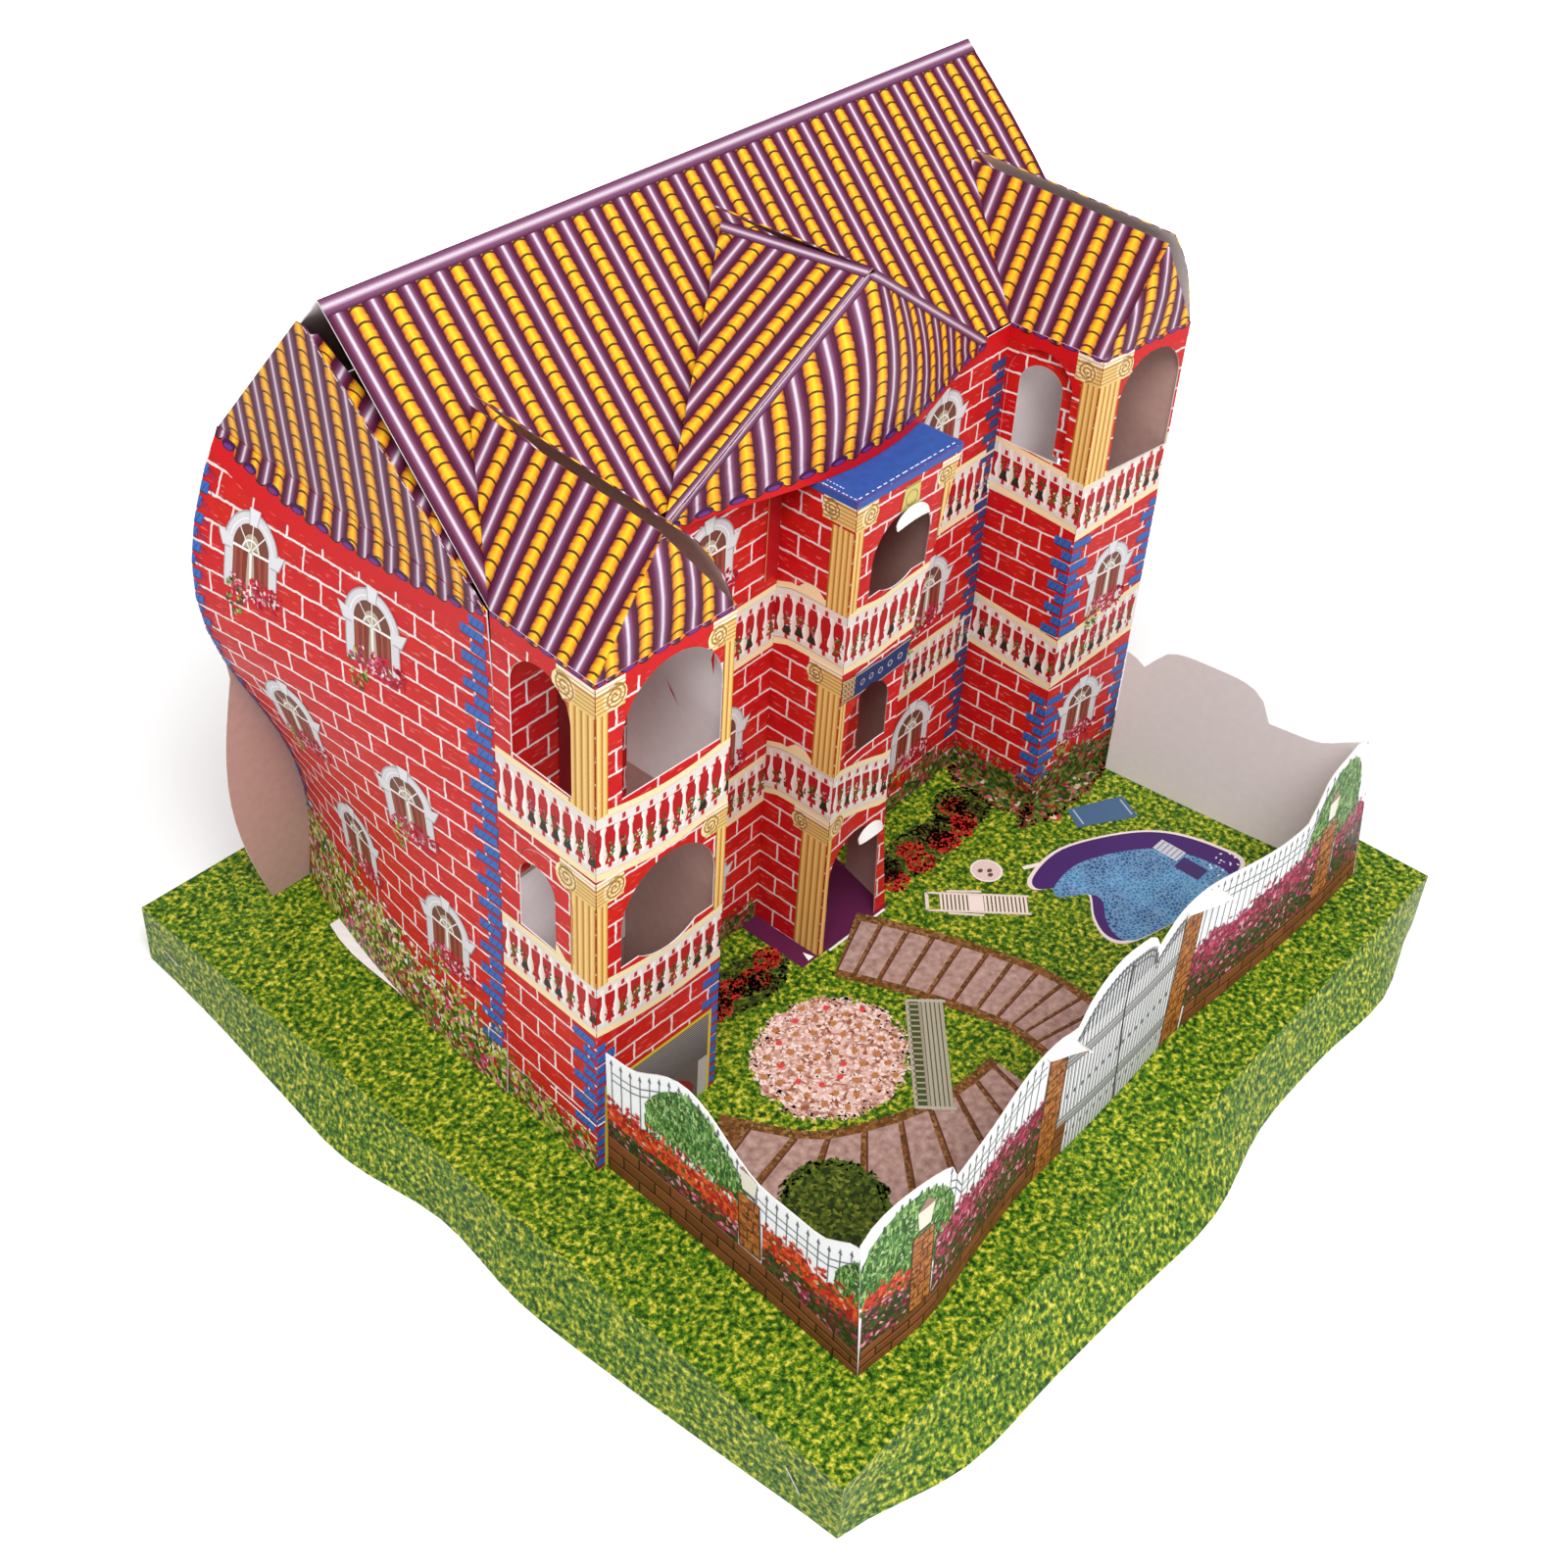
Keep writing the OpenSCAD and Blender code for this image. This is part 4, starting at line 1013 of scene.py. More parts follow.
def print_left_gable():
    """Pale dashes of the fold along the gable."""
    paper = Print("left_gable")
    front, peak = (LEFT_WALL, WALL), (70, WALL + 75)
    length = math.hypot(front[0] - peak[0], front[1] - peak[1])
    for i in range(int(length / 4.6)):
        dash = part_of(front, peak, (i * 4.6 + 1) / length, (i * 4.6 + 3.6) / length)
        line(paper, [(s - 1.2, h) for s, h in dash], 0.7, (0.80, 0.62, 0.66), 2)
    paper.build()


def ledge(paper, s0, s1, level, inset, rise):
    """Cream sill under an opening, narrower at its top."""
    paper.add([(s0, level), (s1, level), (s1 - inset, level + rise), (s0 + inset, level + rise)], CREAM, 3)


def print_left_wing():
    """Two storeys of columns and balustrades over the corner blocks and the garage."""
    rng = random.Random(2)
    side, front, inner = Print("lw_side"), Print("lw_front"), Print("lw_inner")
    for paper, length in ((side, LEFT_SIDE), (front, LEFT_FRONT)):
        tile_ends(paper, 0, length, lambda s: WALL, phase=-4, above=6, red_band=6)
    for level, top in ((UPPER_FLOOR, 235), (LOWER_FLOOR, 151)):
        column(side, 39.5, LEFT_SIDE, level - 2, top - 11)
        capital(side, 34, LEFT_SIDE, top, 37.5)
        column(front, 0, 5.5, level - 2, top - 11, 2)
        capital(front, 0, 13, top, 8.5, 5.4)
        column(front, 59, LEFT_FRONT, level - 2, top - 11, 2)
        capital(front, 53, LEFT_FRONT, top, 55.5, 4.8)
    balustrade(side, rng, 0, LEFT_SIDE, between((0, 180), (LEFT_SIDE, 182)))
    balustrade(side, rng, 0, LEFT_SIDE, between((0, 101), (LEFT_SIDE, 103)), 28)
    balustrade(front, rng, 0, LEFT_FRONT, sagging(183, 181, LEFT_FRONT, 4), 31)
    balustrade(front, rng, 0, LEFT_FRONT, sagging(103, 100, LEFT_FRONT, 3), 28)
    for level in (UPPER_FLOOR, LOWER_FLOOR):
        ledge(side, 12, 37, level, 5, 4.5)
    quoins(side, LEFT_SIDE, -1, 22, 73, gap=1)
    quoins(front, 0, 1, 2, 73, 9, 4)
    quoins(front, LEFT_FRONT, -1, 2, 73, 9, 5)
    line(side, [(26, 26.5), (LEFT_SIDE, 26.5)], 0.9, WHITE, 6)
    line(front, [(0, 26.5), (5, 26)], 0.9, WHITE, 6)
    hedge(side, rng, 0, LEFT_SIDE, lambda s: 19 - 5 * s / LEFT_SIDE, "mixed_flowers", MEADOW[:4],
          ragged=5, layer=6)
    print_garage(front)
    for level in (UPPER_FLOOR - 1, LOWER_FLOOR):
        balustrade(inner, rng, 0, 49, between((0, level), (49, level - 4)), 29)
    for paper in (side, front, inner):
        paper.build()
    print_torn_card()


def print_torn_card():
    """Bare card inside the left wing, with red tears whose middles are pale."""
    torn = Print("lw_inner_inside")
    # Lower part of the left wing's inside in the shaded card: painted shade
    torn.add(block(0, 0, 52, 140), WHITE, 0, "warm_card")
    pale, red = (0.80, 0.76, 0.74), (0.55, 0.02, 0.03)
    for a, b, wide in (((38, 232), (27, 214), 1.6), ((8, 217), (8, 201), 1.8), ((32, 192), (22, 178), 1.3)):
        mid = ((a[0] + b[0]) / 2, (a[1] + b[1]) / 2)
        torn.add([a, (mid[0] + wide, mid[1]), b, (mid[0] - wide * 0.3, mid[1])], red, 1)
        line(torn, [a, mid, b], wide * 0.35, pale, 2)
    torn.build()


def print_garage(paper):
    """Garage door: yellow frame, finely lined shutter, dark opening and a plain red car behind it."""
    paper.add(block(4, 0, 60.5, 46), (0.62, 0.46, 0.03), 6)
    paper.add(block(5.6, 0, 59, 44.2), (0.06, 0.045, 0.045), 7)
    for i in range(19):
        h = 21 + i * 1.22
        tone = 0.13 + 0.16 * (i / 19)
        paper.add(block(5.6, h, 59, h + 0.7), (tone, tone * 0.92, tone * 0.92), 8)
    paper.add(block(5.6, 0, 59, 21), (0.12, 0.085, 0.085), 8)
    paper.add(block(54, 0, 59, 21), (0.42, 0.40, 0.40), 9)
    car = [(14, 2), (50, 2), (52, 8), (49, 13), (42, 19), (24, 19), (16, 13), (12, 8)]
    paper.add(car, (0.22, 0.01, 0.02), 9)
    paper.add([(24, 12.5), (42, 12.5), (39, 18), (27, 18)], (0.55, 0.52, 0.52), 10)
    for s in (18, 42):
        paper.add(block(s, 6, s + 6, 9), (0.75, 0.72, 0.70), 10)
    paper.add(block(24, 3, 40, 5.5), (0.10, 0.01, 0.01), 10)


def print_right_wing():
    """One storey of columns over two storeys of windows between corner blocks."""
    rng = random.Random(3)
    side, front, outer = Print("rw_side"), Print("rw_front"), Print("rw_outer")
    for paper, length in ((side, RIGHT_SIDE), (front, RIGHT_FRONT)):
        tile_ends(paper, 0, length, lambda s: WALL, phase=-4, above=6, red_band=7)
    column(side, 37.5, RIGHT_SIDE, 178, 224, 3)
    capital(side, 33.5, RIGHT_SIDE, 236, 38.5, 5.0)
    column(front, 0, 13.5, 177, 224)
    capital(front, 0, 19, 236, 14.5, 5.4)
    side.add([(8, 183), (29, 181), (24, 187), (13, 187.5)], CREAM, 3)
    for paper, end, left, right, height in ((side, RIGHT_SIDE, 183, 179, 26), (side, RIGHT_SIDE, 101, 96, 28),
                                            (front, RIGHT_FRONT, 178, 184, 29),
                                            (front, RIGHT_FRONT, 96.5, 105, 27)):
        balustrade(paper, rng, 0, end, between((0, left), (end, right)), height)
    for low, high in ((12, 66), (98, 149)):
        quoins(side, RIGHT_SIDE, -1, low, high, 9.5, 5, gap=1)
        quoins(front, 0, 1, low, high, 11.5, 6)
        quoins(front, RIGHT_FRONT, -1, low + 8, high + 4, 9, 5)
    window(front, rng, 29, 136, 16, 34)
    window(front, rng, 25, 63, 16, 33)
    hedge(side, rng, 0, RIGHT_SIDE, lambda s: 12, "dark_flowers", SHADE_PLANTS, ragged=5, layer=6)
    hedge(front, rng, 0, RIGHT_FRONT, lambda s: 20 - 4 * abs(s - 30) / 30, "dark_flowers", SHADE_PLANTS,
          ragged=7, layer=6)
    for level in (184, 105):
        balustrade(outer, rng, 0, 51, between((0, level), (51, level - 3)), 28)
    for paper in (side, front, outer):
        paper.build()


PANEL_EDGE = (0.35, 0.26, 0.06)


def print_porch():
    """Three storeys of columns and capitals, two balustrades, a gilded panel and the blue canopy."""
    rng = random.Random(4)
    left, front, right, top = Print("porch_left"), Print("porch_front"), Print("porch_right"), Print("canopy")
    for s, low, high, capital_top, scroll_s in ((25, 180, 218, 231, 24), (24, 101, 142, 154, 22.5),
                                                (22, 0, 66, 76, 20.5)):
        column(left, s, PORCH_SIDE, low, high)
        capital(left, s - 5, PORCH_SIDE, capital_top, scroll_s, 4.6)
    for level, height in ((183, 30), (103, 28)):
        ledge(left, 11, 24, level, 4, 3.6)
        balustrade(left, rng, 0, PORCH_SIDE, between((0, level - 3), (8, level), (PORCH_SIDE, level)), height)
        balustrade(right, rng, 0, 40, between((0, level - 4), (40, level - 2)), height)
    left.add(block(0, 228, PORCH_SIDE, 236), (0.45, 0.012, 0.02), 2)
    for paper in (left, front):
        paper.add(block(0, 228.8, 62, 232), CANOPY_BLUE, 9)
    balustrade(front, rng, 0, PORCH_FRONT, between((0, 183), (22, 178), (56, 181)), 30)
    balustrade(front, rng, 0, PORCH_FRONT, between((0, 103), (38, 90), (PORCH_FRONT, 92)), 28)
    for s0, s1, low, high, flutes in ((0, 5.2, 181, 218, 2), (54, 60, 180, 218, 2), (0, 4.5, 101, 137, 2),
                                      (0, 3.2, 0, 66, 1)):
        column(front, s0, s1, low, high, flutes)
    for s0, s1, capital_top, scroll_s, radius in ((0, 12, 230, 8, 5), (50, 62, 228, 53, 4.6),
                                                  (0, 9, 78, 6, 5)):
        capital(front, s0, s1, capital_top, scroll_s, radius)
    front.add([(27, 213), (38.5, 213), (37.5, 226), (28.5, 226)], (0.62, 0.50, 0.14), 4)
    for s0, s1, h in ((27, 38.5, 213.8), (28.4, 37.6, 225.4)):
        line(front, [(s0, h), (s1, h)], 0.9, PANEL_EDGE, 5)
    ring(front, 33, 219.6, 3.0, 3.7, (0.30, 0.30, 0.16), 5)
    hanging_flap("upper_arch_flap", 33, 214.5, 10, 4.2)
    hanging_flap("door_arch_flap", 27, 58, 8, 5)
    print_porch_band(front)
    print_canopy_creases(top, rng)
    for paper in (left, front, right, top):
        paper.build()


def print_porch_band(front):
    """Dark blue band with gilt edges, small gilt rings and a gilt fretwork end."""
    band = between((0, 150), (12, 146.5), (30, 144.5), (PORCH_FRONT, 147))
    for i in range(12):
        a, b = i * 5, i * 5 + 5
        tone = NAVY if i > 1 else (0.16, 0.05, 0.02)
        front.add([(a, band(a) - 12), (b, band(b) - 12), (b, band(b)), (a, band(a))], tone, 4)
        for edge in (0.8, 11.2):
            line(front, [(a, band(a) - edge), (b, band(b) - edge)], 0.5, (0.55, 0.42, 0.22), 5)
    for i in range(4):
        for j in range(4):
            s, h = 1.6 + 2.5 * i, band(2 * i) - 2.6 - 2.4 * j
            ring(front, s, h, 0.5, 1.1, (0.62, 0.46, 0.24), 5, steps=8)
    for i in range(7):
        s = 16 + 6.2 * i
        ring(front, s, band(s) - 6, 1.1, 1.6, (0.45, 0.40, 0.30), 5, steps=8)


def print_canopy_creases(top, rng):
    """White worn dashes along the canopy's folds."""
    count = 16
    for a, b in (((0.8, 32), (0.8, 1.2)), ((0.8, 1.2), (60, 0.9)), ((4.0, 34), (3.4, 9))):
        for i in range(count):
            dash = part_of(a, b, (i + rng.uniform(0, 0.4)) / count, (i + rng.uniform(0.6, 1)) / count)
            line(top, dash, 0.55, (0.75, 0.76, 0.80), 2)


def hanging_flap(name, s, top, half, drop):
    """Crescent of card left by the punched arch, hanging a little forward from the arch's top."""
    face = FACES["porch_front"]
    rings, steps = [], 14
    for out in (0.9, 0.9 + CARD):
        for low in (0, 1):
            row = []
            for i in range(steps + 1):
                a = math.pi * (0.08 + 0.84 * i / steps)
                h = top + 2.5 - half * 0.75 * (1 - math.sin(a)) - low * drop * math.sin(a) ** 0.6
                lean = low * 2.5 * math.sin(a)
                spot = face.origin + face.across * (s - half * math.cos(a)) + face.up * h
                row.append(tuple((spot + face.normal * (out + lean)) * MM))
            rings.append(row)
    inner_top, inner_low, outer_top, outer_low = rings
    loop = [inner_top, inner_low, outer_low, outer_top]
    faces, n = [], steps + 1
    for k in range(4):
        for i in range(steps):
            a, b = k * n + i, ((k + 1) % 4) * n + i
            faces.append((a, a + 1, b + 1, b))
    faces += [tuple(k * n for k in range(4)), tuple(k * n + steps for k in (3, 2, 1, 0))]
    mesh = bpy.data.meshes.new(name)
    mesh.from_pydata([p for row in loop for p in row], [], faces)
    mesh.uv_layers.new(name="print")
    mesh.materials.append(MATERIALS["edge"])
    thing = linked(name, mesh)
    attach(thing, "root")


def print_main_wall():
    """The wall behind the porch, and what its ends show through the wings' openings."""
    paper, rng = Print("main_wall"), random.Random(5)
    paper.add(block(0, 226, 345, 237), RED, 2)
    for s, top in ((102, 226), (113, 132), (107, 56), (246, 221), (250, 137), (249, 58)):
        window(paper, rng, s, top)
    # Bare card behind the wings' openings: shaded card for painted shade, and lit card for painted light
    # where light comes in through the openings
    for s0, h0, s1, h1, layer, kind in ((2, 0, 59, 120, 1, "warm_card"), (2, 48, 59, 118, 6, "pale_card"),
                                        (291.5, 0, 346, 237, 1, "warm_card"),
                                        (291.5, 140, 346, 222, 6, "pale_card")):
        paper.add(block(s0, h0, s1, h1), WHITE, layer, kind)
    # Dark red block: the brick wall in painted shade behind the left wing's opening
    paper.add(block(24, 120, 46, 215), (0.22, 0.006, 0.01), 6)
    for s0, s1 in ((64, 168), (228, 290)):
        balustrade(paper, rng, s0, s1, lambda s: 178.5, 30)
        balustrade(paper, rng, s0, s1, lambda s: 93, 26)
    for s, low, high in ((135, 183, 224), (147, 97, 126)):
        paper.add(block(s, low, s + 10, high), DEEP_RED, 5)
        for edge in (s + 0.6, s + 9.4):
            line(paper, [(edge, low), (edge, high)], 0.4, (0.60, 0.30, 0.10), 6)
    # Corner blocks at the wings' inner corners in dark navy instead of blue: painted shade
    for edge, way, low, high in ((289, -1, 20, 226), (60.5, 1, 20, 60)):
        quoins(paper, edge, way, low, high, 10, 6, (0.03, 0.06, 0.20))
    hedge(paper, rng, 222, 290, lambda s: 13 + 5 * math.sin(s / 8), "dark_flowers", SHADE_PLANTS, 0, 6, 6)
    hedge(paper, rng, 62, 142, lambda s: 11 + 3 * math.sin(s / 8), "dark_flowers", SHADE_PLANTS, 0, 5, 6)
    paper.build()


def edge_points(face, *points):
    """Print coordinates of points in space."""
    return [tuple(p) for p in FACES[face].place(np.array(points, float))]


def print_roofs():
    """Tube tiles along the folds of the middle roof and along the main ridge, and the middle roof's lip."""
    front = Print("middle_front")
    a, b = edge_points("middle_front", MIDDLE_LEFT, MIDDLE_PEAK)
    shaded_band(front, b, a, 2.4, FALLING_HALF, 6)
    a, b = edge_points("middle_front", MIDDLE_RIGHT, MIDDLE_PEAK)
    shaded_band(front, a, b, 4.4, TUBE_STOPS, 6)
    tile_ends(front, -95, 97, lambda s: 0.6, phase=3.0, above=4, red_band=9)
    front.build()
    left = Print("middle_left")
    a, b, c = edge_points("middle_left", MIDDLE_LEFT, MIDDLE_PEAK, MIDDLE_BACK)
    shaded_band(left, a, b, 2.4, FALLING_HALF, 3)
    shaded_band(left, b, c, 4.6, TUBE_STOPS, 4)
    left.build()
    right = Print("middle_right")
    a, b, c = edge_points("middle_right", MIDDLE_RIGHT, MIDDLE_PEAK, MIDDLE_BACK)
    shaded_band(right, b, a, 2.4, FALLING_HALF, 3)
    shaded_band(right, c, b, 4.6, TUBE_STOPS, 4)
    right.build()
    for key in ("main_front", "main_back"):
        ridge = Print(key)
        shaded_band(ridge, (-2, 107.5), (352, 107.5), 6.7, TUBE_STOPS, 3)
        ridge.build()


def print_tray():
    """Garden on the tray's top: s is x and h is y."""
    paper, rng = Print("tray"), random.Random(6)
    # Curved stone path from the porch to the gate, and a second one to the left
    path(paper, [(-12, -35), (-1, -58), (10, -86), (17, -112), (16, -134), (11, -154)], 32, 13, 0.03, 5)
    path(paper, [(-140, -72), (-118, -108), (-84, -130), (-50, -141), (-22, -143)], 38, 9, 0.08, 2)
    blossom_bush(paper, rng, (-66, -72), (34, 30))
    bench(paper, (-62, -116), (-18, -76))
    pool(paper, rng)
    lounger(paper, (34, -44), (64, -78))
    garden_things(paper)
    bush(paper, rng, (-122, -122), (21, 22), "olive_bush",
         [(0.045, 0.08, 0.008), (0.09, 0.13, 0.012), (0.02, 0.04, 0.006)])
    for centre, radii in (((-60, -20), (23, 12)), ((60, -20), (30, 11)), ((96, -16), (14, 13))):
        porch_bed(paper, rng, centre, radii)
    # Purple ground under the porch and its white pointed tabs
    paper.add([(-36, -31), (20, -33), (28, 6), (-36, 6)], (0.09, 0.012, 0.05), 2)
    paper.add([(-31, -30), (-27.5, -30), (-29, -25)], WHITE, 4)
    line(paper, [(-20, -32.5), (17, -33.5)], 1.2, (0.75, 0.70, 0.68), 4)
    # Dark planting at the right wing's feet
    for centre, radii in (((140, -44), (34, 8)), ((116, -18), (9, 24))):
        bush(paper, rng, centre, radii, "dark_flowers", SHADE_PLANTS[:2])
    paper.build()


def garden_things(paper):
    """Round table with three cups, blue towel and three pots."""
    table = (69, -51)
    ring(paper, *table, 0, 7.5, (0.62, 0.50, 0.46), 4)
    ring(paper, *table, 6.7, 7.5, (0.80, 0.70, 0.66), 5)
    for ds, dh in ((-2, 2), (1, -1), (-1, -3)):
        paper.add(oval(table[0] + ds, table[1] + dh, 1.4, 1.1), (0.12, 0.06, 0.05), 6)
    paper.add([(123, -64), (130, -53), (157, -66), (150, -80)], (0.06, 0.12, 0.22), 4)
    for ends in ([(127, -64.5), (132, -55)], [(149, -77), (154, -67)]):
        line(paper, ends, 0.8, (0.35, 0.42, 0.50), 5)
    paper.add(oval(122, -51.5, 3.4), (0.35, 0.06, 0.04), 4)
    paper.add(oval(121, -50.5, 1.6, 2.8), (0.65, 0.55, 0.35), 5)
    paper.add(oval(147, -52.5, 2.6), (0.14, 0.16, 0.05), 4)


def porch_bed(paper, rng, centre, radii):
    """Olive bush beside the porch with clusters of red flowers and a few dark gaps."""
    bush(paper, rng, centre, radii, "olive_bush", [(0.10, 0.14, 0.02), (0.02, 0.03, 0.01)])
    reds, gaps = [(0.62, 0.02, 0.02), (0.45, 0.01, 0.015)], [(0.02, 0.012, 0.006), (0.05, 0.05, 0.01)]
    for k in range(int(radii[0] / 3)):
        spot = (centre[0] + rng.uniform(-0.9, 0.9) * radii[0], centre[1] + rng.uniform(-0.6, 0.4) * radii[1])
        sprinkle(paper, rng, spot, (7, 6), 110, reds if k % 3 else gaps, 1.1, 7)


def path(paper, middle_line, width, count, skew, layer):
    """Stone path along a line: brown soil with slabs across it. skew is how far the joints lean along it."""
    def point(t):
        n = len(middle_line) - 1
        i = min(int(t * n), n - 1)
        return curve_point([middle_line[max(0, min(n, i + k))] for k in (-1, 0, 1, 2)], t * n - i)

    def edge(t, out):
        a, b = point(max(0, t - 0.01)), point(min(1, t + 0.01))
        length = math.hypot(b[0] - a[0], b[1] - a[1])
        s, h = point(t)
        return s - (b[1] - a[1]) / length * out, h + (b[0] - a[0]) / length * out

    steps, half = 24, width / 2
    wide = half + 4.5
    for i in range(steps):
        t0, t1 = i / steps, (i + 1) / steps
        paper.add([edge(t0, -wide), edge(t1, -wide), edge(t1, wide), edge(t0, wide)], WHITE, layer, "soil")
    for i in range(count):
        t0, t1 = (i + 0.08) / count, (i + 0.92) / count
        far0, far1 = min(1, t0 + skew), min(1, t1 + skew)
        slab = [edge(t0, -half), edge(t1, -half), edge(far1, half), edge(far0, half)]
        paper.add(slab, WHITE, layer + 1, "slab")
        line(paper, [edge(t0, -half), edge(far0, half)], 0.8, (0.10, 0.03, 0.02), layer + 2)


def bush(paper, rng, centre, radii, kind, tones, layer=5):
    """Printed shrub with a leafy outline."""
    outline = [(centre[0] + radii[0] * (1 + rng.uniform(-0.08, 0.08)) * math.cos(a),
                centre[1] + radii[1] * (1 + rng.uniform(-0.08, 0.08)) * math.sin(a))
               for a in [2 * math.pi * i / 28 for i in range(28)]]
    paper.add(outline, WHITE, layer, kind)
    for _ in range(int(7 * sum(radii))):
        a, far = rng.uniform(0, 2 * math.pi), rng.uniform(0.82, 1.05)
        s, h = centre[0] + radii[0] * far * math.cos(a), centre[1] + radii[1] * far * math.sin(a)
        leaf(paper, rng, s, h, 1.3, rng.choice(tones), layer + 1)


def blossom_bush(paper, rng, centre, radii):
    """Round pale pink bush: rings of petals with brown hearts and some red ones."""
    tones = [(0.52, 0.28, 0.22), (0.68, 0.46, 0.39), (0.80, 0.62, 0.56)]
    bush(paper, rng, centre, radii, "blossom", tones, 5)
    for i in range(46):
        angle, far = i * 2.4, math.sqrt((i + 0.5) / 46) * 0.93
        s, h = centre[0] + radii[0] * far * math.cos(angle), centre[1] + radii[1] * far * math.sin(angle)
        for k in range(9):
            a = k * 2 * math.pi / 9 + rng.uniform(-0.2, 0.2)
            leaf(paper, rng, s + 2.9 * math.cos(a), h + 2.9 * math.sin(a), 1.5, rng.choice(tones[1:]), 7)
        heart = (0.62, 0.05, 0.05) if i % 5 == 2 else (0.42, 0.17, 0.05)
        paper.add(oval(s, h, 1.5, 1.3, steps=8), heart, 8)


def bench(paper, a, b):
    """Grey garden bench seen from above: back rest and seat of slats."""
    at = along(a, b, 1)
    paper.add([at(0, -2), at(1, -2), at(1, 13), at(0, 13)], (0.05, 0.07, 0.02), 6)
    for k in range(19):
        t = 0.02 + k * 0.052
        line(paper, [at(t, -1.6), at(t, 3)], 0.9, (0.34, 0.31, 0.22), 8)
    for out, wide, tone in ((-1.8, 1.5, (0.38, 0.34, 0.26)), (3.4, 1.2, (0.30, 0.27, 0.20))):
        line(paper, [at(0, out), at(1, out)], wide, tone, 8)
    for k in range(5):
        line(paper, [at(-0.01, 5 + k * 1.9), at(1.01, 5 + k * 1.9)], 1.4, (0.36, 0.33, 0.25), 8)
    for t in (0.01, 0.99):
        line(paper, [at(t, -2), at(t, 14.5)], 1.4, (0.42, 0.38, 0.30), 9)


def smooth_loop(marks):
    """Closed curve through the marks."""
    n, steps = len(marks), 6
    return [curve_point([marks[(i + k) % n] for k in (-1, 0, 1, 2)], step / steps)
            for i in range(n) for step in range(steps)]


def pool(paper, rng):
    """Bean-shaped pool: pale rim, dark shaded wall at the back and rippled water."""
    middle = (114, -101)
    marks = [(80, -67), (105, -66), (134, -80), (151, -96), (159, -118), (157, -134), (128, -135),
             (100, -131), (76, -124), (71, -115), (77, -104), (89, -93), (87, -84), (74, -74)]
    outline = smooth_loop(marks)

    def shrunk(k, ds=0, dh=0):
        away = [(s - middle[0], h - middle[1]) for s, h in outline]
        return [(middle[0] + s * k + ds, middle[1] + h * k + dh) for s, h in away]
    paper.add(shrunk(1.0), (0.72, 0.62, 0.60), 3)
    paper.add(shrunk(0.955), (0.055, 0.02, 0.12), 4)
    paper.add(shrunk(0.80, -4.0, -5.5), WHITE, 5, "water")
    paper.add(block(136, -110, 144, -97), (0.50, 0.52, 0.56), 6)
    for k in range(5):
        line(paper, [(136.5, -99 - k * 2.4), (143.5, -99 - k * 2.4)], 0.6, (0.20, 0.20, 0.30), 7)
    paper.add(block(132, -124, 141, -111), (0.05, 0.03, 0.12), 6)
    line(paper, [(82, -62), (90, -66)], 2.2, (0.75, 0.68, 0.66), 6)
    for _ in range(16):
        leaf(paper, rng, rng.uniform(140, 158), rng.uniform(-132, -122), 0.8, (0.85, 0.85, 0.9), 8)


def lounger(paper, a, b):
    """White slatted sun lounger."""
    at = along(a, b, -1)
    frame_tone, slat = (0.66, 0.56, 0.50), (0.74, 0.64, 0.58)
    paper.add([at(0.12, -5.5), at(1, -5.5), at(1, 5.5), at(0.12, 5.5)], (0.10, 0.09, 0.03), 5)
    for k in range(22):
        t = 0.14 + k * 0.04
        line(paper, [at(t, -5), at(t, 5)], 1.1, slat, 6)
    paper.add([at(0.42, -5), at(0.56, -5), at(0.56, 5), at(0.42, 5)], slat, 7)
    line(paper, [at(0, -5.6), at(0, 5.6)], 1.6, frame_tone, 7)
    for way in (-1, 1):
        line(paper, [at(0, 5.6 * way), at(1.02, 5.6 * way)], 1.3, frame_tone, 7)
        line(paper, [at(0.2, 7 * way), at(0.55, 7.6 * way)], 1.3, frame_tone, 7)


# Fence print. The heights of the cut top are the part's own.
def bump(t):
    return (1 + math.cos(math.pi * t)) / 2 if abs(t) < 1 else 0


def dome(t):
    return math.sqrt(max(0, 1 - t * t))


def crown(t):
    return math.sqrt(max(0, 1 - t ** 4))


def front_top(s, length=360.5, fence=66):
    post, gate, far_post = 112, 156, 203
    beside_post = bump((s - post) / 50) if s < post else crown((s - post) / 18)
    return (fence + 17 * dome((s - 24) / 26) + 10 * beside_post
            + 26 * dome((s - gate) / 27) + 17 * bump((s - far_post) / (40 if s < far_post else 100))
            + 20 * crown((s - length + 32) / 24) + 10 * bump((s - length) / 16))


def left_top(s, length=127.5, fence=66):
    middle = 20 * bump((s - length * 0.32) / (length * 0.34))
    return fence - 5 + 6 * bump(s / 20) + middle + 10 * bump((s - length) / 20)


def bars(paper, s0, s1, top, low, pitch=4.9, tone=(0.16, 0.17, 0.18)):
    """Fine iron bars with spear tips and two level rails."""
    count = int((s1 - s0) / pitch)
    for i in range(count + 1):
        s = s0 + i * pitch
        line(paper, [(s, low), (s, top(s) - 3)], 0.55, tone, 3)
        paper.add([(s - 0.9, top(s) - 4.2), (s + 0.9, top(s) - 4.2), (s, top(s) - 1.2)], tone, 3)
        b = min(s1, s + pitch)
        for drop in (8.5, 12.5):
            line(paper, [(s, top(s) - drop), (b, top(b) - drop)], 0.55, tone, 3)


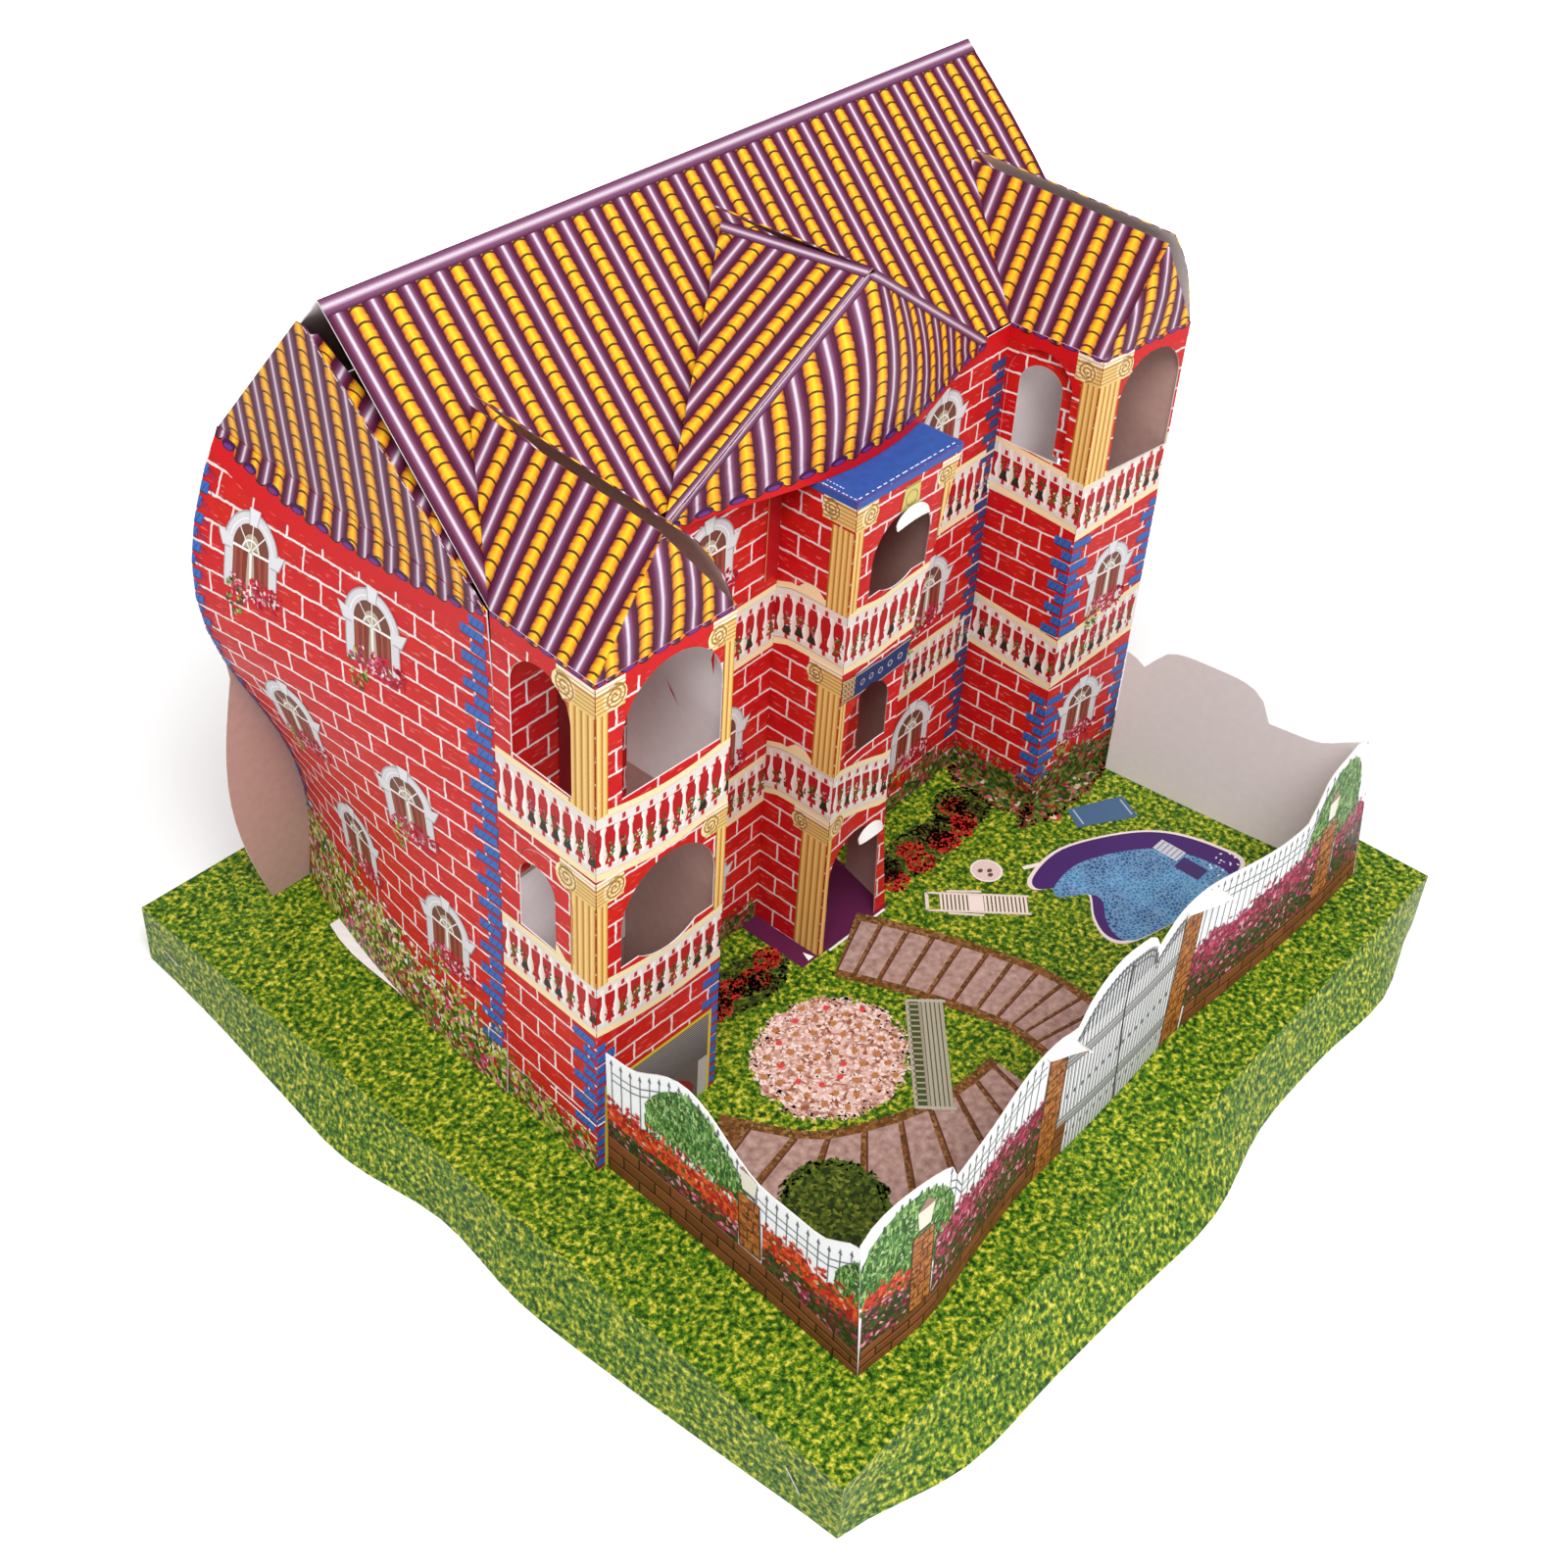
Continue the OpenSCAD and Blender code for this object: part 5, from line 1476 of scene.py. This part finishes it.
def brick_foot(paper, s0, s1, top, courses=3, brick=16.5):
    """Brown bricks along the fence's foot, with dark joints."""
    paper.add([(s0, -1), (s1, -1), (s1, top(s1)), (s0, top(s0))], (0.025, 0.008, 0.004), 6)
    for row in range(courses):
        start = s0 - (brick / 2 if row % 2 else 0)
        while start < s1:
            a, b = max(s0, start + 0.4), min(s1, start + brick - 0.4)
            if b - a > 0.6:
                low, high = [(top(a) * (row + k) / courses, top(b) * (row + k) / courses) for k in (0, 1)]
                tone = (0.21, 0.06, 0.022) if (row + int(start)) % 3 else (0.16, 0.045, 0.016)
                brick_face = [(a, low[0] + 0.5), (b, low[1] + 0.5), (b, high[1] - 0.4), (a, high[0] - 0.4)]
                paper.add(brick_face, tone, 7)
                line(paper, [(a, high[0] - 0.8), (b, high[1] - 0.8)], 0.5, (0.34, 0.13, 0.05), 8)
            start += brick


def post(paper, s, width, low, high, lamp=False):
    """Orange brick post, with a lantern where it has one."""
    lean = 1.5
    paper.add([(s, low), (s + width, low), (s + width - lean, high), (s - lean, high)], WHITE, 9, "post")
    rows = int((high - low) / 6.2)
    for i in range(rows + 1):
        h = low + i * 6.2
        line(paper, [(s - lean * i / rows, h), (s + width - lean * i / rows, h)], 0.7, CLAY_JOINT, 10)
        middle = s + width * (0.35 if i % 2 else 0.62)
        line(paper, [(middle, h), (middle, min(high, h + 6))], 0.6, CLAY_JOINT, 10)
    for edge in (s, s + width):
        line(paper, [(edge, low), (edge - lean, high)], 0.6, (0.06, 0.02, 0.01), 10)
    if lamp:
        m = s + width / 2 - lean
        glass = [(m - 3, high + 3), (m + 3, high + 3), (m + 4.4, high + 13), (m - 4.4, high + 13)]
        paper.add(glass, (0.72, 0.68, 0.56), 10)
        paper.add([(m - 4.8, high + 13), (m + 4.8, high + 13), (m, high + 18.5)], (0.30, 0.17, 0.13), 10)
        line(paper, [(m - 3.4, high + 2), (m + 3.4, high + 2)], 1.4, (0.08, 0.07, 0.05), 10)


def gate(paper, s0, s1):
    """Double gate of fine bars with two heavy rails and a dark middle line."""
    def gate_top(s):
        return front_top(s) - 6
    paper.add([(s0, -1), (s1 + 6, -1), (s1, 70), (s0 - 5, 66)], (0.78, 0.78, 0.80), 4)
    count = int((s1 - s0) / 2.4)
    for i in range(count + 1):
        s = s0 + i * 2.4
        for ds, tone in ((0, 0.06), (0.8, 0.40)):
            line(paper, [(s + ds + 3, -1), (s + ds - 2, gate_top(s - 2))], 0.55, (tone, tone, tone * 1.03), 5)
    for h in (17, 53):
        for k, tone in enumerate((0.16, 0.34, 0.22, 0.42, 0.2)):
            line(paper, [(s0, h + k * 1.3 + 2), (s1, h + k * 1.3 - 2)], 1.2, (tone, tone, tone), 6)
    for h in (11, 36):
        for i in range(0, count, 2):
            s = s0 + 2 + i * 2.4
            paper.add(oval(s, h, 0.8, 1.4, steps=8), (0.10, 0.10, 0.11), 7)
    middle = (s0 + s1) / 2
    line(paper, [(middle + 6, -1), (middle - 2, 60), (middle - 2, gate_top(middle) - 2)], 1.0, INK, 8)
    for drop, wide in ((1.5, 1.0), (4.8, 0.6)):
        points = [(s, gate_top(s) - drop) for s in np.linspace(s0 + 4, s1 - 2, 24)]
        line(paper, points, wide, (0.10, 0.10, 0.11), 8)


def tree(paper, rng, outline_top, s0, s1, low):
    """Weeping tree whose leafy top follows the cut edge."""
    count = int((s1 - s0) * 11)
    tones = [(0.02, 0.08, 0.012), (0.06, 0.19, 0.03), (0.14, 0.32, 0.06), (0.32, 0.48, 0.16)]
    middle, half = (s0 + s1) / 2, (s1 - s0) / 2
    tops = []
    for k in range(-8, 9):
        s = middle + half * k / 8
        tops.append((s, low + (outline_top(s) - 4 - low) * dome(k / 8.6) ** 0.55))
    foot = [(middle - half * 0.95, low + 5), (middle + half * 0.95, low + 5)]
    paper.add(foot + tops[::-1], WHITE, 5, "tree")
    for _ in range(count):
        s = rng.uniform(s0, s1)
        reach = dome((s - middle) / half)
        high = low + (outline_top(s) - 3 - low) * reach ** 0.55
        h = rng.uniform(low - 2, max(low + 1, high))
        hanging_leaf = [(s - 0.5, h - 1.6), (s + 0.5, h - 1.2), (s + 0.3, h + 1.6), (s - 0.5, h + 1.2)]
        paper.add(hanging_leaf, rng.choice(tones), 6)


FENCE_PINK = [(0.38, 0.012, 0.075), (0.54, 0.07, 0.15), (0.18, 0.006, 0.03)]
FENCE_RED = [(0.58, 0.03, 0.015), (0.70, 0.10, 0.02), (0.30, 0.01, 0.01)]
FENCE_DARK = [(0.03, 0.05, 0.01), (0.10, 0.12, 0.03), (0.42, 0.03, 0.12)]
FENCE_GREEN = [(0.04, 0.10, 0.02), (0.10, 0.16, 0.03), (0.5, 0.04, 0.02)]


def print_fence():
    """The three sides of the fence. The right side's outer face is plainer."""
    rng = random.Random(7)
    print_fence_front(Print("fence_front"), rng)
    print_fence_left(Print("fence_left"), rng)
    right = Print("fence_right")
    bars(right, 4, 124, lambda s: 66, 20)
    hedge(right, rng, 0, 128, lambda s: 40, "pink_flowers", FENCE_PINK, 18, 5, 7, 1.5)
    brick_foot(right, 0, 128, lambda s: 20)
    right.build()


def print_fence_front(front, rng):
    """Bars, gate, trees, flowers, brick foot and four posts of the fence's front."""
    bars(front, 42, 110, front_top, 20)
    bars(front, 222, 318, front_top, 20)
    gate(front, 122, 206)
    tree(front, rng, front_top, -8, 47, 36)
    tree(front, rng, front_top, 302, 352, 36)
    for s0, s1, crest, kind, tones in ((0, 26, 40, "red_flowers", FENCE_RED),
                                       (36, 113, 46, "pink_flowers", FENCE_PINK),
                                       (220, 322, 47, "pink_flowers", FENCE_PINK),
                                       (330, 361, 42, "pink_flowers", FENCE_PINK)):
        middle, half = (s0 + s1) / 2, (s1 - s0) / 2
        hedge(front, rng, s0, s1, lambda s: crest + 2 * math.sin(s / 6), kind, tones, 26, 4, 7, 1.3)
        hedge(front, rng, s0, s1, lambda s: 33, "dark_hedge", FENCE_DARK, 14, 5, 8, 1.3)
        sprinkle(front, rng, (middle, 38), (half, 8), int(s1 - s0), [(0.56, 0.15, 0.24)] + tones * 3, 0.8, 9)
    wall_top = between((0, 14), (60, 19), (118, 21), (205, 16), (235, 21), (320, 17), (361, 14))
    brick_foot(front, 0, 132, wall_top)
    brick_foot(front, 222, 361, wall_top)
    for s, width, low, high, lamp in ((24, 11, 15, 56, True), (113, 12, 0, 72, False),
                                      (206, 14, 0, 74, False), (315, 14, 14, 54, True)):
        post(front, s, width, low, high, lamp)
    front.build()


def print_fence_left(left, rng):
    """The same on the fence's left side, with red flowers only."""
    bars(left, 3, 124, left_top, 20)
    tree(left, rng, left_top, 20, 72, 40)
    tree(left, rng, lambda s: left_top(s) - 1, 114, 150, 36)
    for s0, s1 in ((0, 68), (80, 128)):
        hedge(left, rng, s0, s1, lambda s: 40, "red_flowers", FENCE_RED, 30, 5, 7, 1.6)
        hedge(left, rng, s0, s1, lambda s: 34, "dark_hedge", FENCE_GREEN, 12, 5, 5, 1.4)
        sprinkle(left, rng, ((s0 + s1) / 2, 28), ((s1 - s0) / 2, 5), 16, FENCE_RED, 1.6, 9)
    brick_foot(left, 0, 128, between((0, 21), (80, 19), (128, 13)))
    post(left, 69, 10.5, 20, 50, lamp=True)
    left.build()


print_left_wall()
print_hidden_walls()
print_left_gable()
print_left_wing()
print_right_wing()
print_porch()
print_main_wall()
print_roofs()
print_tray()
print_fence()


# Camera, floor and light
def set_camera():
    """The photograph's own view, worked out from the object's corners in it."""
    azimuth, elevation, roll = math.radians(49.8), math.radians(37.7), math.radians(3.0)
    ahead = Vector((math.sin(azimuth) * math.cos(elevation), math.cos(azimuth) * math.cos(elevation),
                    -math.sin(elevation)))
    right = ahead.cross(Vector((0, 0, 1))).normalized()
    up = right.cross(ahead)
    turned_right = right * math.cos(roll) + up * math.sin(roll)
    turned_up = up * math.cos(roll) - right * math.sin(roll)
    camera = linked("camera", bpy.data.cameras.new("camera"))
    turn = Matrix((turned_right, turned_up, -ahead)).transposed().to_4x4()
    camera.matrix_world = Matrix.Translation(Vector((-529.62, -407.18, 663.13)) * MM) @ turn
    # Focal length and the lens axis, in pixels of the square photograph
    photo_width, focal_pixels, axis_column, axis_row, sensor = 1600, 2087.1, 759.7, 696.1, 36
    camera.data.sensor_width = sensor
    camera.data.lens = focal_pixels / photo_width * sensor
    camera.data.shift_x = (photo_width / 2 - axis_column) / photo_width
    camera.data.shift_y = (axis_row - photo_width / 2) / photo_width
    camera.data.clip_start = 0.02
    bpy.context.scene.camera = camera


SKY_LIGHT, SEEN_LIGHT = 0.42, 1.05


def set_stage():
    """Plain white floor that fades into a white background, keeping the object's soft shadow."""
    mesh = bpy.data.meshes.new("floor")
    reach = 6
    mesh.from_pydata([(s, h, 0) for s, h in block(-reach, -reach, reach, reach)], [], [(0, 1, 2, 3)])
    floor = linked("floor", mesh)
    shader = Shader("floor_white", 0.6, 0.2)
    place = shader.node("TexCoord", out=3)
    grain = shader.node("TexNoise", {"Vector": place, "Scale": 30.0, "Detail": 3.0})
    stops = [(0.3, (0.955, 0.955, 0.955)), (0.7, (0.965, 0.965, 0.965))]
    mesh.materials.append(shader.finish(shader.ramp(grain, stops)))
    away = shader.node("VectorMath", {0: place}, 1, operation="LENGTH")
    glow = shader.math("MULTIPLY", shader.node("LightPath"), shader.step(away, 0.3, 0.75))
    shader.put(shader.surface.inputs["Emission Color"], (1, 1, 1))
    shader.put(shader.surface.inputs["Emission Strength"], glow)
    world = bpy.data.worlds.new("studio")
    bpy.context.scene.world = world
    world.use_nodes = True
    background = world.node_tree.nodes["Background"]
    background.inputs["Color"].default_value = (1, 1, 1, 1)
    path_kind = world.node_tree.nodes.new("ShaderNodeLightPath")
    strength = world.node_tree.nodes.new("ShaderNodeMath")
    strength.operation = "MULTIPLY_ADD"
    strength.inputs[1].default_value = SEEN_LIGHT - SKY_LIGHT
    strength.inputs[2].default_value = SKY_LIGHT
    world.node_tree.links.new(path_kind.outputs["Is Camera Ray"], strength.inputs[0])
    world.node_tree.links.new(strength.outputs[0], background.inputs["Strength"])


def area_light(name, place, toward, size, power):
    light = bpy.data.lights.new(name, "AREA")
    light.size = size
    light.energy = power
    thing = linked(name, light)
    thing.location = place
    thing.rotation_euler = (Vector(toward) - Vector(place)).to_track_quat("-Z", "Y").to_euler()


set_camera()
set_stage()
area_light("key", (-0.9, -0.9, 2.1), (0, 0, 0.1), 1.3, 60)
area_light("fill", (0.5, -2.0, 1.3), (0, 0, 0.1), 1.5, 13)
bpy.context.scene.view_settings.view_transform = "Standard"
